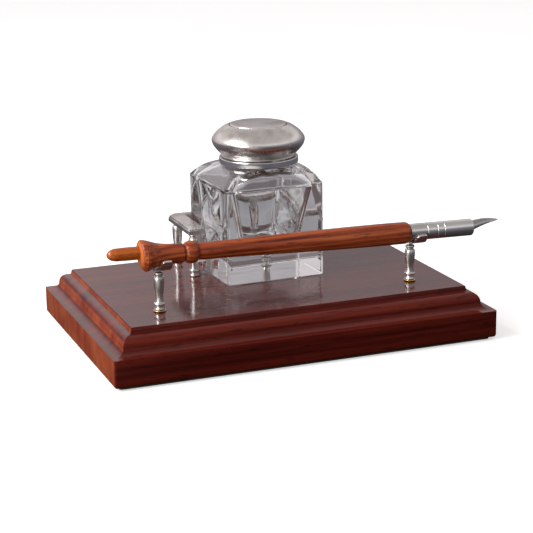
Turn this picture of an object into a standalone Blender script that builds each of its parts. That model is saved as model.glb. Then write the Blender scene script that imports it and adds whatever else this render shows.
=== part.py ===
"""A desk inkstand: a moulded wooden plinth with a square glass inkwell in a low metal gallery,
and a dip pen lying on two forked rests.

The origin is on the desk, under the middle of the plinth. X runs along the plinth towards the
nib, Y towards the gallery's back bar, Z up. All lengths are in metres.
"""

import math

import bmesh
import bpy
from mathutils import Matrix, Vector

MM = 0.001
GAP = 0.3 * MM

# Plinth
PLINTH_LENGTH = 190.0 * MM
PLINTH_DEPTH = 129.4 * MM
PLINTH_UNDERSIDE = 1.2 * MM
LEDGE_TOP = 14.4 * MM
PLINTH_TOP = 25.2 * MM
LEDGE_WIDTH = 1.0 * MM
COVE_WIDTH, COVE_RISE = 5.0 * MM, 3.6 * MM
OVOLO_WIDTH, OVOLO_RISE = 4.5 * MM, 4.6 * MM
QUIRK_WIDTH, QUIRK_RISE = 0.9 * MM, 2.6 * MM
PLINTH_EDGE_RADIUS = 1.4 * MM
PAD_MARGIN = 2.5 * MM

# Screws that come up through the plinth
SCREW_SHANK_RADIUS = 1.1 * MM
SCREW_HEAD_RADIUS = 2.4 * MM
SCREW_HEAD_THICKNESS = 1.6 * MM
COUNTERBORE_DEPTH = 6.0 * MM
SCREW_BITE = 5.0 * MM

# Pen line: it falls towards the nib
PEN_Y = -34.0 * MM
PEN_HEIGHT_AT_CENTRE = 50.64 * MM
PEN_SLOPE = math.radians(1.215)

# Pen rests
REST_X = {"left": -64.1 * MM, "right": 63.1 * MM}
WASHER_RADIUS = 2.9 * MM
WASHER_THICKNESS = 0.5 * MM
POST_FOOT_RADIUS = 2.8 * MM
FORK_SHIFT = {"left": 1.2 * MM, "right": 3.2 * MM}
FORK_WIDTH = 7.6 * MM
FORK_TAPER = 2.6 * MM
FORK_THICKNESS = 1.1 * MM
FORK_SPREAD = math.radians(58)
FORK_ARM = 2.4 * MM
FORK_SEAT_RADIUS = {"left": 6.3 * MM, "right": 4.4 * MM}

# Gallery round the inkwell
RAIL_UNDERSIDE = 47.0 * MM
RAIL_LOWER_TIER = 2.0 * MM
RAIL_UPPER_TIER = 1.0 * MM
RAIL_STEP = 0.9 * MM
RAIL_CANT = 3.5 * MM
RAIL_LEFT, RAIL_RIGHT = -33.9 * MM, 37.4 * MM
RAIL_FRONT, RAIL_BACK = 13.1 * MM, 49.1 * MM
BAY_LEFT, BAY_RIGHT, BAY_BACK = -25.1 * MM, 28.9 * MM, 43.9 * MM
LEG_FOOT_RADIUS = 2.75 * MM
LEG_SPIGOT_RADIUS = 1.1 * MM
LEG_SPIGOT_LENGTH = 1.3 * MM
LEG_PLACES = {
    "front_left": (-30.4 * MM, 16.6 * MM),
    "back_left": (-29.7 * MM, 44.8 * MM),
    "middle_left": (-9.8 * MM, 46.5 * MM),
    "middle_right": (11.0 * MM, 46.5 * MM),
    "back_right": (33.2 * MM, 44.8 * MM),
    "front_right": (33.2 * MM, 16.6 * MM),
}

# Inkwell
WELL_X, WELL_Y = 2.7 * MM, 16.9 * MM
WELL_TURN = math.radians(2.3)
GLASS_HALF = 25.4 * MM
GLASS_CORNER = 1.5 * MM
GLASS_FOOT_CHAMFER = 0.6 * MM
GLASS_SIDE_TOP = 72.4 * MM
SHOULDER_TOP = 79.3 * MM
NECK_SHIFT = 2.0 * MM
NECK_RADIUS = 16.6 * MM
NECK_TOP = 84.4 * MM
MOUTH_RADIUS = 13.4 * MM
CAVITY_FLOOR = 36.4 * MM
CAVITY_FLOOR_HALF = 15.4 * MM
CAVITY_TOP_HALF = 21.6 * MM
CAVITY_TOP = 69.8 * MM

# Collar, lid and their hinge
COLLAR_RADIUS = 19.6 * MM
COLLAR_BORE = 18.0 * MM
COLLAR_BOTTOM, COLLAR_TOP = 79.7 * MM, 82.9 * MM
LID_RIM_RADIUS = 18.5 * MM
LID_BOTTOM = 83.2 * MM
LID_WALL = 1.1 * MM
LID_RADIUS = 23.0 * MM
LID_WIDEST = 91.3 * MM
LID_FLAT_TOP = 97.4 * MM
LID_LIP_TOP = 98.7 * MM
DISC_RADIUS = 14.0 * MM
DISC_TOP = 99.1 * MM
HINGE_REACH = 21.5 * MM
HINGE_HEIGHT = 83.05 * MM
KNUCKLE_RADIUS = 1.7 * MM
KNUCKLE_LENGTH = 3.2 * MM
HINGE_BORE = 1.0 * MM
HINGE_PIN_RADIUS = 0.7 * MM

# Pen, measured along its own axis from the middle of the plinth
HANDLE_TIP, HANDLE_RIDGE = -73.2 * MM, -70.4 * MM
BEAD_START, BEAD_END = -51.6 * MM, -45.2 * MM
HANDLE_END = 62.1 * MM
FINIAL_TIP = -88.3 * MM
FINIAL_RADIUS = 3.0 * MM
FINIAL_RISE = 1.7 * MM
FINIAL_SPIGOT_RADIUS = 2.1 * MM
FINIAL_SPIGOT_END = -69.0 * MM
TENON_RADIUS = 2.2 * MM
TENON_START, TENON_END = 53.0 * MM, 69.0 * MM
FERRULE_START, FERRULE_END = 62.4 * MM, 96.0 * MM
FERRULE_RADIUS, FERRULE_BORE = 4.1 * MM, 3.4 * MM
FERRULE_GROOVES = (70.9 * MM, 76.4 * MM, 80.1 * MM)
COLLET_START, COLLET_END = 80.5 * MM, 95.4 * MM
COLLET_FLANGE_END = 83.0 * MM
COLLET_RADIUS = 2.3 * MM
NIB_START, NIB_TIP = 86.0 * MM, 111.0 * MM
NIB_RADIUS = 3.08 * MM
NIB_THICKNESS = 0.35 * MM

# Colour (linear RGB), roughness, metallic
FINISHES = {
    "mahogany": ((0.115, 0.022, 0.014), 0.25, 0.0),
    "baize": ((0.020, 0.060, 0.030), 0.95, 0.0),
    "pewter": ((0.420, 0.400, 0.370), 0.32, 1.0),
    "brass": ((0.700, 0.440, 0.160), 0.30, 1.0),
    "steel": ((0.300, 0.300, 0.310), 0.35, 1.0),
    "nickel": ((0.600, 0.590, 0.580), 0.15, 1.0),
    "glass": ((0.900, 0.930, 0.920), 0.02, 0.0),
    "cement": ((0.600, 0.580, 0.520), 0.85, 0.0),
    "cork": ((0.340, 0.190, 0.090), 0.90, 0.0),
    "rosewood": ((0.250, 0.060, 0.020), 0.30, 0.0),
    "amber_wood": ((0.480, 0.170, 0.030), 0.22, 0.0),
    "nib_steel": ((0.350, 0.340, 0.350), 0.25, 1.0),
}


# ---------------------------------------------------------------- shared tools


def clear_scene():
    """Remove every object that the file starts with."""
    for item in list(bpy.data.objects):
        bpy.data.objects.remove(item, do_unlink=True)


def make_collection(name):
    """Add a collection to the scene and return it."""
    collection = bpy.data.collections.new(name)
    bpy.context.scene.collection.children.link(collection)
    return collection


def make_material(name, finish):
    """Return a Principled material for one sub-part, in one of the named finishes."""
    colour, roughness, metallic = FINISHES[finish]
    material = bpy.data.materials.new(name)
    material.use_nodes = True
    shader = material.node_tree.nodes["Principled BSDF"]
    shader.inputs["Base Color"].default_value = (*colour, 1.0)
    shader.inputs["Roughness"].default_value = roughness
    shader.inputs["Metallic"].default_value = metallic
    return material


class Builder:
    """Adds named objects to the part's collection, and cutters to the other one."""

    def __init__(self):
        self.parts = make_collection("desk_inkstand")
        self.cutters = make_collection("cutters")

    def place(self, name, mesh, finish, location=(0, 0, 0), parent=None):
        """Add a sub-part made from a mesh."""
        item = bpy.data.objects.new(name, mesh)
        item.location = location
        item.parent = parent
        mesh.materials.append(make_material(name, finish))
        self.parts.objects.link(item)
        return item

    def empty(self, name, location, rotation=(0, 0, 0), parent=None):
        """Add an empty that sub-parts are parented to."""
        item = bpy.data.objects.new(name, None)
        item.location = location
        item.rotation_euler = rotation
        item.parent = parent
        self.parts.objects.link(item)
        return item

    def turned(self, name, profile, finish, segments, location=(0, 0, 0), parent=None, closed=False):
        """Add a turned sub-part; its profile runs down the outer side, from top to bottom."""
        item = self.place(name, profile_mesh(name, profile, closed), finish, location, parent)
        add_screw(item, segments)
        return item

    def turned_cutter(self, name, profile, segments, location, parent=None):
        """Add a turned cutter, which isn't part of the object."""
        item = bpy.data.objects.new(name, profile_mesh(name, profile, False))
        item.location = location
        item.parent = parent
        item.hide_render = True
        item.display_type = "WIRE"
        self.cutters.objects.link(item)
        add_screw(item, segments)
        return item

    def cut(self, item, cutter):
        """Subtract one cutter from a sub-part."""
        boolean = item.modifiers.new(cutter.name, "BOOLEAN")
        boolean.operation = "DIFFERENCE"
        boolean.solver = "EXACT"
        boolean.object = cutter


def profile_mesh(name, profile, closed):
    """Return a mesh holding one polyline of (radius, height) points in the XZ plane."""
    points = [(radius, 0.0, height) for radius, height in profile]
    edges = [(i, i + 1) for i in range(len(points) - 1)]
    if closed:
        edges.append((len(points) - 1, 0))
    mesh = bpy.data.meshes.new(name)
    mesh.from_pydata(points, edges, [])
    return mesh


def add_screw(item, segments):
    """Turn an object's profile round its Z axis."""
    screw = item.modifiers.new("turning", "SCREW")
    screw.angle = math.tau
    screw.steps = segments
    screw.render_steps = segments
    screw.use_merge_vertices = True
    screw.merge_threshold = 0.001 * MM
    screw.use_smooth_shade = True


def mesh_from(name, bm):
    """Turn a bmesh into a mesh with its faces pointing out."""
    bmesh.ops.recalc_face_normals(bm, faces=bm.faces)
    mesh = bpy.data.meshes.new(name)
    bm.to_mesh(mesh)
    bm.free()
    return mesh


def arc(centre, radius, start, end, steps):
    """Points on a circular or elliptical arc; angles in degrees, 0 along +X, 90 up."""
    across, up = radius if isinstance(radius, tuple) else (radius, radius)
    points = []
    for i in range(steps + 1):
        angle = math.radians(start + (end - start) * i / steps)
        points.append((centre[0] + across * math.cos(angle), centre[1] + up * math.sin(angle)))
    return points


def mix(a, b, t):
    """Return the value a share t of the way from a to b."""
    return a + (b - a) * t


def pen_height(x):
    """Height of the pen's axis above the desk at a place along the plinth."""
    return PEN_HEIGHT_AT_CENTRE - x * math.tan(PEN_SLOPE)


# ---------------------------------------------------------------- plinth


def moulding_steps():
    """The (inward, upward) steps of the moulding, from the block's top edge to the plinth's."""
    outline = [(0.0, 0.0), (LEDGE_WIDTH, 0.0)]
    cove_start = outline[-1]
    for i in range(1, 6):
        angle = math.radians(90 * i / 5)
        outline.append(
            (cove_start[0] + COVE_WIDTH * math.sin(angle), COVE_RISE * (1 - math.cos(angle)))
        )
    ovolo_start = outline[-1]
    for i in range(1, 7):
        angle = math.radians(90 * i / 6)
        outline.append(
            (
                ovolo_start[0] + OVOLO_WIDTH * (1 - math.cos(angle)),
                ovolo_start[1] + OVOLO_RISE * math.sin(angle),
            )
        )
    shelf = outline[-1]
    lip = 0.35 * MM
    outline.append((shelf[0] + QUIRK_WIDTH - lip, shelf[1] + lip))
    outline.append((shelf[0] + QUIRK_WIDTH, shelf[1] + QUIRK_RISE - lip))
    outline.append((shelf[0] + QUIRK_WIDTH + lip, shelf[1] + QUIRK_RISE))
    return [(b[0] - a[0], b[1] - a[1]) for a, b in zip(outline, outline[1:])]


def is_block_edge(edge):
    """True for the square block's upright corners and its bottom edges."""
    heights = [vert.co.z for vert in edge.verts]
    upright = max(heights) > LEDGE_TOP - 0.1 * MM and min(heights) < PLINTH_UNDERSIDE + 0.1 * MM
    bottom = max(heights) < PLINTH_UNDERSIDE + 0.1 * MM
    return upright or bottom


def build_plinth(builder):
    """The moulded board: a block whose top face is stepped in and up through the moulding."""
    bm = bmesh.new()
    bmesh.ops.create_cube(bm, size=1.0)
    block = (PLINTH_LENGTH, PLINTH_DEPTH, LEDGE_TOP - PLINTH_UNDERSIDE)
    bmesh.ops.scale(bm, vec=block, verts=bm.verts)
    bmesh.ops.translate(bm, vec=(0, 0, (LEDGE_TOP + PLINTH_UNDERSIDE) / 2), verts=bm.verts)
    top = max(bm.faces, key=lambda face: face.calc_center_median().z)
    for inward, upward in moulding_steps():
        bmesh.ops.inset_region(
            bm, faces=[top], thickness=inward, depth=upward, use_even_offset=True
        )
    bmesh.ops.bevel(
        bm,
        geom=[edge for edge in bm.edges if is_block_edge(edge)],
        offset=PLINTH_EDGE_RADIUS * 0.6,
        segments=2,
        profile=0.5,
        affect="EDGES",
    )
    return builder.place("plinth", mesh_from("plinth", bm), "mahogany")


def build_pad(builder):
    """The baize pad under the plinth, which the stand rests on."""
    bm = bmesh.new()
    bmesh.ops.create_cube(bm, size=1.0)
    thickness = PLINTH_UNDERSIDE - GAP
    size = (PLINTH_LENGTH - 2 * PAD_MARGIN, PLINTH_DEPTH - 2 * PAD_MARGIN, thickness)
    bmesh.ops.scale(bm, vec=size, verts=bm.verts)
    bmesh.ops.translate(bm, vec=(0, 0, thickness / 2), verts=bm.verts)
    corners = [edge for edge in bm.edges if abs(edge.verts[0].co.z - edge.verts[1].co.z) > GAP]
    bmesh.ops.bevel(bm, geom=corners, offset=2 * MM, segments=3, profile=0.5, affect="EDGES")
    builder.place("baize_pad", mesh_from("baize_pad", bm), "baize")


def build_screw(builder, name, plinth, place, thread_top):
    """A pan-headed screw in its counterbored hole, up into the foot of a post or leg."""
    head_top = PLINTH_UNDERSIDE + COUNTERBORE_DEPTH - GAP
    head_bottom = head_top - SCREW_HEAD_THICKNESS
    profile = [
        (0.0, thread_top),
        (SCREW_SHANK_RADIUS * 0.6, thread_top),
        (SCREW_SHANK_RADIUS, thread_top - 0.6 * MM),
        (SCREW_SHANK_RADIUS, head_top),
        (SCREW_HEAD_RADIUS, head_top),
        (SCREW_HEAD_RADIUS, head_bottom + 0.5 * MM),
        (SCREW_HEAD_RADIUS * 0.7, head_bottom),
        (0.0, head_bottom),
    ]
    builder.turned(name, profile, "steel", 10, (*place, 0.0))
    bore = SCREW_SHANK_RADIUS + GAP
    counterbore = SCREW_HEAD_RADIUS + 2 * GAP
    hole = [
        (0.0, PLINTH_TOP + MM),
        (bore, PLINTH_TOP + MM),
        (bore, PLINTH_UNDERSIDE + COUNTERBORE_DEPTH),
        (counterbore, PLINTH_UNDERSIDE + COUNTERBORE_DEPTH),
        (counterbore, PLINTH_UNDERSIDE - MM),
        (0.0, PLINTH_UNDERSIDE - MM),
    ]
    builder.cut(plinth, builder.turned_cutter(f"{name}_hole", hole, 10, (*place, 0.0)))


# ---------------------------------------------------------------- turned posts and legs


def baluster_profile(height, foot_radius):
    """The outer side of a turned upright, from its top bead down to its foot.

    The foot is a short drum under a ring; above it the shaft narrows to a waist low down, swells
    towards the shoulder, and carries a bead on a narrow neck.
    """
    f = foot_radius
    shoulder = height - 2.1 * MM
    collar = 4.0 * MM
    top_bead = arc((0.56 * f, height - 0.95 * MM), (0.24 * f, 0.75 * MM), 80, -80, 4)
    ring = arc((0.74 * f, 2.7 * MM), (0.22 * f, 0.6 * MM), 80, -80, 3)
    shaft = [
        (0.58 * f, shoulder),
        (0.80 * f, shoulder - 0.4 * MM),
        (0.91 * f, shoulder - 1.8 * MM),
        (0.86 * f, mix(collar, shoulder, 0.60)),
        (0.71 * f, mix(collar, shoulder, 0.33)),
        (0.65 * f, mix(collar, shoulder, 0.14)),
        (0.72 * f, 3.6 * MM),
    ]
    foot = [(0.79 * f, 2.0 * MM), (0.79 * f, 1.2 * MM), (0.88 * f, 0.5 * MM), (0.88 * f, 0.0)]
    return [*top_bead, *shaft, *ring, *foot]


def screw_socket(radius, depth):
    """The blind hole in an upright's foot, from its rim to its end on the axis."""
    return [(radius, 0.0), (radius, depth), (0.0, depth)]


def build_rest(builder, side, plinth):
    """One pen rest: brass washer, turned post, forked cradle and the screw that holds them."""
    place = (REST_X[side], PEN_Y)
    bore = SCREW_SHANK_RADIUS + GAP
    washer_bottom = PLINTH_TOP + GAP
    washer_top = washer_bottom + WASHER_THICKNESS
    foot = washer_top + GAP
    fork_x = REST_X[side] + FORK_SHIFT[side]
    seat = FORK_SEAT_RADIUS[side]
    neck_top = pen_height(fork_x) - seat - FORK_THICKNESS - GAP
    height = neck_top - foot

    washer = [
        (WASHER_RADIUS, washer_top),
        (WASHER_RADIUS, washer_bottom),
        (bore, washer_bottom),
        (bore, washer_top),
    ]
    builder.turned(f"rest_washer_{side}", washer, "brass", 16, (*place, 0.0), closed=True)
    socket = screw_socket(bore, SCREW_BITE + MM)
    profile = [(0.0, height), *baluster_profile(height, POST_FOOT_RADIUS), *socket]
    builder.turned(f"rest_post_{side}", profile, "pewter", 14, (*place, foot))
    build_screw(builder, f"rest_screw_{side}", plinth, place, foot + SCREW_BITE)
    build_fork(builder, side, (fork_x, PEN_Y, pen_height(fork_x)))


def fork_path(seat_radius, distance):
    """The strap's inner surface in the YZ plane, at a distance along it from the bottom."""
    bend = seat_radius * FORK_SPREAD
    along = min(abs(distance), bend)
    angle = along / seat_radius
    arm = abs(distance) - along
    y = seat_radius * math.sin(angle) + arm * math.cos(FORK_SPREAD)
    z = -seat_radius * math.cos(angle) + arm * math.sin(FORK_SPREAD)
    return math.copysign(y, distance), z


def build_fork(builder, side, place):
    """The cradle: a strap bent round below the pen, its arms narrowed on their left and round-ended."""
    seat = FORK_SEAT_RADIUS[side]
    reach = seat * FORK_SPREAD + FORK_ARM
    bm = bmesh.new()
    bmesh.ops.create_grid(bm, x_segments=16, y_segments=4, size=1.0)
    for vert in bm.verts:
        along, across = vert.co.x, vert.co.y
        y, z = fork_path(seat, along * reach)
        end = max(0.0, (abs(along) - 0.8) / 0.2)
        narrowed = FORK_TAPER * abs(along)
        half_width = (FORK_WIDTH - narrowed) / 2 * mix(1.0, math.sqrt(max(0.0, 1 - end * end)), 0.4)
        vert.co = Vector((narrowed / 2 + across * half_width, y, z))
    item = builder.place(f"rest_fork_{side}", mesh_from(f"rest_fork_{side}", bm), "pewter", place)
    turn_normals_up(item.data)
    solidify = item.modifiers.new("strap", "SOLIDIFY")
    solidify.thickness = FORK_THICKNESS
    solidify.offset = -1.0
    solidify.use_even_offset = True


def turn_normals_up(mesh):
    """Make an open surface's faces point up, so that its wall grows downwards."""
    if sum(face.normal.z for face in mesh.polygons) < 0:
        mesh.flip_normals()


# ---------------------------------------------------------------- gallery


def rail_outline():
    """The gallery's plan: two arms and a back bar round the inkwell, its back corners canted."""
    return [
        (RAIL_LEFT, RAIL_FRONT),
        (BAY_LEFT, RAIL_FRONT),
        (BAY_LEFT, BAY_BACK),
        (BAY_RIGHT, BAY_BACK),
        (BAY_RIGHT, RAIL_FRONT),
        (RAIL_RIGHT, RAIL_FRONT),
        (RAIL_RIGHT, RAIL_BACK - RAIL_CANT),
        (RAIL_RIGHT - RAIL_CANT, RAIL_BACK),
        (RAIL_LEFT + RAIL_CANT, RAIL_BACK),
        (RAIL_LEFT, RAIL_BACK - RAIL_CANT),
    ]


def build_rail(builder):
    """The U-shaped rail in two tiers, the upper one stepped in all round."""
    bm = bmesh.new()
    base = bm.faces.new([bm.verts.new((x, y, RAIL_UNDERSIDE)) for x, y in rail_outline()])
    raised = bmesh.ops.extrude_face_region(bm, geom=[base])["geom"]
    lifted = [item for item in raised if isinstance(item, bmesh.types.BMVert)]
    bmesh.ops.translate(bm, vec=(0, 0, RAIL_LOWER_TIER), verts=lifted)
    bmesh.ops.recalc_face_normals(bm, faces=bm.faces)
    top = max(bm.faces, key=lambda face: face.calc_center_median().z)
    soften = 0.2 * MM
    steps = (
        (soften, soften),
        (RAIL_STEP - 2 * soften, soften),
        (soften, RAIL_UPPER_TIER - 3 * soften),
        (2 * soften, soften),
    )
    for inward, upward in steps:
        bmesh.ops.inset_region(
            bm, faces=[top], thickness=inward, depth=upward, use_even_offset=True
        )
    return builder.place("gallery_rail", mesh_from("gallery_rail", bm), "pewter")


def build_leg(builder, where, plinth, rail):
    """One turned gallery leg, its spigot in the rail and its screw through the plinth."""
    place = LEG_PLACES[where]
    foot = PLINTH_TOP + GAP
    height = RAIL_UNDERSIDE - GAP - foot
    spigot = [
        (0.0, height + LEG_SPIGOT_LENGTH),
        (LEG_SPIGOT_RADIUS, height + LEG_SPIGOT_LENGTH),
        (LEG_SPIGOT_RADIUS, height),
    ]
    bore = SCREW_SHANK_RADIUS + GAP
    socket = screw_socket(bore, SCREW_BITE + MM)
    profile = [*spigot, *baluster_profile(height, LEG_FOOT_RADIUS), *socket]
    builder.turned(f"gallery_leg_{where}", profile, "pewter", 12, (*place, foot))
    build_screw(builder, f"leg_screw_{where}", plinth, place, foot + SCREW_BITE)
    socket_radius = LEG_SPIGOT_RADIUS + GAP
    socket_top = RAIL_UNDERSIDE + LEG_SPIGOT_LENGTH
    hole = [
        (0.0, socket_top),
        (socket_radius, socket_top),
        (socket_radius, RAIL_UNDERSIDE - MM),
        (0.0, RAIL_UNDERSIDE - MM),
    ]
    builder.cut(rail, builder.turned_cutter(f"rail_socket_{where}", hole, 10, (*place, 0.0)))


# ---------------------------------------------------------------- inkwell


def ring_angles():
    """Directions of a glass ring's points: close together at the square's corners."""
    corner_start = math.degrees(math.atan2(GLASS_HALF - GLASS_CORNER, GLASS_HALF))
    octant = [0.0, 12.0, 24.0, 35.0, corner_start]
    quarter = [*octant, 45.0, *[90.0 - angle for angle in reversed(octant[1:])]]
    return [math.radians(angle + 90 * turn) for turn in range(4) for angle in quarter]


def ring_point(angle, half, corner):
    """A point in a direction on a square with rounded corners; a corner of half is a circle."""
    turn = angle % (math.pi / 2)
    c, s = math.cos(turn), math.sin(turn)
    straight = half / max(c, s)
    flat = half - corner
    if min(c, s) * straight <= flat:
        distance = straight
    else:
        reach = flat * (c + s)
        distance = reach + math.sqrt(max(0.0, reach * reach - 2 * flat * flat + corner * corner))
    return distance * math.cos(angle), distance * math.sin(angle)


def shoulder_rings(half, corner, side_top, neck_radius, neck_z, count):
    """Rings from the square top of the sides over a convex shoulder to the round neck."""
    rings = []
    for i in range(count + 1):
        t = i / count
        size = mix(half, neck_radius, t)
        rounding = mix(corner, neck_radius, t ** 1.5)
        height = mix(side_top, neck_z, math.sin(t * math.pi / 2))
        rings.append((size, min(rounding, size), height, t))
    return rings


def glass_rings():
    """Every ring of the bottle, outer surface from the foot up, then the inside down again.

    Each is (half width, corner radius, height, share of the neck's shift).
    """
    foot = PLINTH_TOP + GAP
    wall = 0.8 * MM
    outer = [
        (GLASS_HALF - GLASS_FOOT_CHAMFER, GLASS_CORNER, foot, 0.0),
        (GLASS_HALF, GLASS_CORNER, foot + GLASS_FOOT_CHAMFER, 0.0),
        (GLASS_HALF, GLASS_CORNER, GLASS_SIDE_TOP - wall, 0.0),
        *shoulder_rings(
            GLASS_HALF - 0.4 * MM, GLASS_CORNER, GLASS_SIDE_TOP, NECK_RADIUS, SHOULDER_TOP, 5
        ),
    ]
    rim = 0.5 * MM
    neck = [
        (NECK_RADIUS, NECK_RADIUS, NECK_TOP - rim, 1.0),
        (NECK_RADIUS - rim, NECK_RADIUS - rim, NECK_TOP, 1.0),
        (MOUTH_RADIUS + rim, MOUTH_RADIUS + rim, NECK_TOP, 1.0),
        (MOUTH_RADIUS, MOUTH_RADIUS, NECK_TOP - rim, 1.0),
    ]
    inner_shoulder = shoulder_rings(
        CAVITY_TOP_HALF, 4 * MM, CAVITY_TOP, MOUTH_RADIUS, SHOULDER_TOP - 4 * MM, 3
    )
    bowl = []
    for i in range(4):
        angle = math.radians(90 * i / 3)
        drop = 5 * MM
        size = CAVITY_FLOOR_HALF - drop * (1 - math.cos(angle))
        bowl.append((size, 5 * MM, CAVITY_FLOOR + drop * (1 - math.sin(angle)), 0.0))
    return [*outer, *neck, *reversed(inner_shoulder), *bowl]


def build_bottle(builder, parent):
    """The square glass bottle with its tapering well and round neck, lofted ring by ring."""
    bm = bmesh.new()
    angles = ring_angles()
    loops = []
    for half, corner, height, shift in glass_rings():
        points = [ring_point(angle, half, corner) for angle in angles]
        loops.append([bm.verts.new((x + shift * NECK_SHIFT, y, height)) for x, y in points])
    for lower, upper in zip(loops, loops[1:]):
        for i in range(len(angles)):
            j = (i + 1) % len(angles)
            bm.faces.new((lower[i], lower[j], upper[j], upper[i]))
    bm.faces.new(reversed(loops[0]))
    bm.faces.new(loops[-1])
    builder.place("glass_bottle", mesh_from("glass_bottle", bm), "glass", parent=parent)


def build_cement(builder, parent):
    """The plaster ring that beds the collar on the glass neck."""
    bottom, top = COLLAR_BOTTOM + GAP, COLLAR_TOP - 2 * GAP
    outer, inner = COLLAR_BORE - GAP, NECK_RADIUS + GAP
    profile = [(outer, top), (outer, bottom), (inner, bottom), (inner, top)]
    builder.turned("collar_cement", profile, "cement", 28, (NECK_SHIFT, 0, 0), parent, closed=True)


def build_knuckle(name, centre_x, bottom, top, web_start):
    """Return a mesh of one knuckle: its barrel joined to a web of the ring's own height."""
    barrel = bmesh.new()
    made = bmesh.ops.create_cone(
        barrel,
        cap_ends=True,
        segments=14,
        radius1=KNUCKLE_RADIUS,
        radius2=KNUCKLE_RADIUS,
        depth=KNUCKLE_LENGTH,
    )
    across = Matrix.Rotation(math.pi / 2, 4, "Y")
    place = Matrix.Translation((centre_x, HINGE_REACH, HINGE_HEIGHT)) @ across
    bmesh.ops.transform(barrel, matrix=place, verts=made["verts"])
    web = bmesh.new()
    bmesh.ops.create_cube(web, size=1.0)
    size = (KNUCKLE_LENGTH - 0.02 * MM, HINGE_REACH - web_start, top - bottom)
    bmesh.ops.scale(web, vec=size, verts=web.verts)
    middle = (centre_x, (HINGE_REACH + web_start) / 2, (top + bottom) / 2)
    bmesh.ops.translate(web, vec=middle, verts=web.verts)
    return mesh_from(f"{name}_barrel", barrel), mesh_from(f"{name}_web", web)


def join_meshes(builder, item, meshes, parent):
    """Boolean the given meshes onto a sub-part."""
    for mesh in meshes:
        tool = bpy.data.objects.new(mesh.name, mesh)
        tool.parent = parent
        tool.location = item.location
        tool.hide_render = True
        tool.display_type = "WIRE"
        builder.cutters.objects.link(tool)
        union = item.modifiers.new(mesh.name, "BOOLEAN")
        union.operation = "UNION"
        union.solver = "EXACT"
        union.object = tool


def bore_hinge(builder, item, parent):
    """Cut the pin's bore through a sub-part's knuckles."""
    bm = bmesh.new()
    bmesh.ops.create_cone(
        bm, cap_ends=True, segments=12, radius1=HINGE_BORE, radius2=HINGE_BORE, depth=20 * MM
    )
    across = Matrix.Rotation(math.pi / 2, 4, "Y")
    place = Matrix.Translation((0, HINGE_REACH, HINGE_HEIGHT)) @ across
    bmesh.ops.transform(bm, matrix=place, verts=bm.verts)
    cutter = bpy.data.objects.new(f"{item.name}_hinge_bore", mesh_from("hinge_bore", bm))
    cutter.parent = parent
    cutter.location = item.location
    cutter.hide_render = True
    cutter.display_type = "WIRE"
    builder.cutters.objects.link(cutter)
    builder.cut(item, cutter)


def build_collar(builder, parent):
    """The collar ring on the neck, with the two outer hinge knuckles at its back."""
    soft = 0.4 * MM
    profile = [
        (COLLAR_RADIUS - soft, COLLAR_TOP),
        (COLLAR_RADIUS, COLLAR_TOP - soft),
        (COLLAR_RADIUS, COLLAR_BOTTOM + soft),
        (COLLAR_RADIUS - soft, COLLAR_BOTTOM),
        (COLLAR_BORE, COLLAR_BOTTOM),
        (COLLAR_BORE, COLLAR_TOP),
    ]
    place = (NECK_SHIFT, 0, 0)
    collar = builder.turned("collar", profile, "nickel", 28, place, parent, closed=True)
    pitch = KNUCKLE_LENGTH + GAP
    for side, centre_x in (("left", -pitch), ("right", pitch)):
        pieces = build_knuckle(
            f"collar_{side}", centre_x, COLLAR_BOTTOM + soft, HINGE_HEIGHT - soft, COLLAR_BORE + soft
        )
        join_meshes(builder, collar, pieces, parent)
    bore_hinge(builder, collar, parent)


def build_hinge_pin(builder, parent):
    """The pin through the three knuckles, a headed wire lying along X."""
    half = 1.5 * KNUCKLE_LENGTH + GAP + 0.6 * MM
    soft = 0.2 * MM
    profile = [
        (0.0, half),
        (HINGE_PIN_RADIUS - soft, half),
        (HINGE_PIN_RADIUS, half - soft),
        (HINGE_PIN_RADIUS, soft - half),
        (HINGE_PIN_RADIUS - soft, -half),
        (0.0, -half),
    ]
    place = (NECK_SHIFT, HINGE_REACH, HINGE_HEIGHT)
    pin = builder.turned("hinge_pin", profile, "steel", 12, place, parent)
    pin.rotation_euler = (0, math.pi / 2, 0)


def lid_outer_profile():
    """The lid's outside, from the recess that the disc lies in down to its rim bead."""
    belly = [
        (18.3 * MM, 84.1 * MM),
        (19.1 * MM, 84.9 * MM),
        (20.6 * MM, 86.6 * MM),
        (22.2 * MM, 88.6 * MM),
    ]
    dome = [
        (LID_RADIUS, LID_WIDEST),
        (22.7 * MM, 92.4 * MM),
        (21.8 * MM, 93.8 * MM),
        (20.3 * MM, 95.4 * MM),
        (18.5 * MM, 96.8 * MM),
        (17.0 * MM, 97.75 * MM),
        (15.5 * MM, 98.4 * MM),
    ]
    recess = DISC_RADIUS + GAP
    seat = [(0.0, LID_FLAT_TOP), (recess, LID_FLAT_TOP), (recess, LID_LIP_TOP)]
    bead = arc((LID_RIM_RADIUS - 0.7 * MM, LID_BOTTOM + 0.5 * MM), (0.6 * MM, 0.5 * MM), 60, -90, 3)
    return [*seat, *reversed(dome), *reversed(belly), *bead]


def lid_inner_profile():
    """The lid's inside, from its rim up to the middle."""
    rim = LID_RIM_RADIUS - LID_WALL
    return [
        (rim, LID_BOTTOM),
        (rim, 84.6 * MM),
        (18.2 * MM, 85.7 * MM),
        (21.0 * MM, 89.2 * MM),
        (LID_RADIUS - LID_WALL, LID_WIDEST),
        (20.6 * MM, 94.2 * MM),
        (17.0 * MM, 95.8 * MM),
        (0.0, LID_FLAT_TOP - LID_WALL),
    ]


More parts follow.
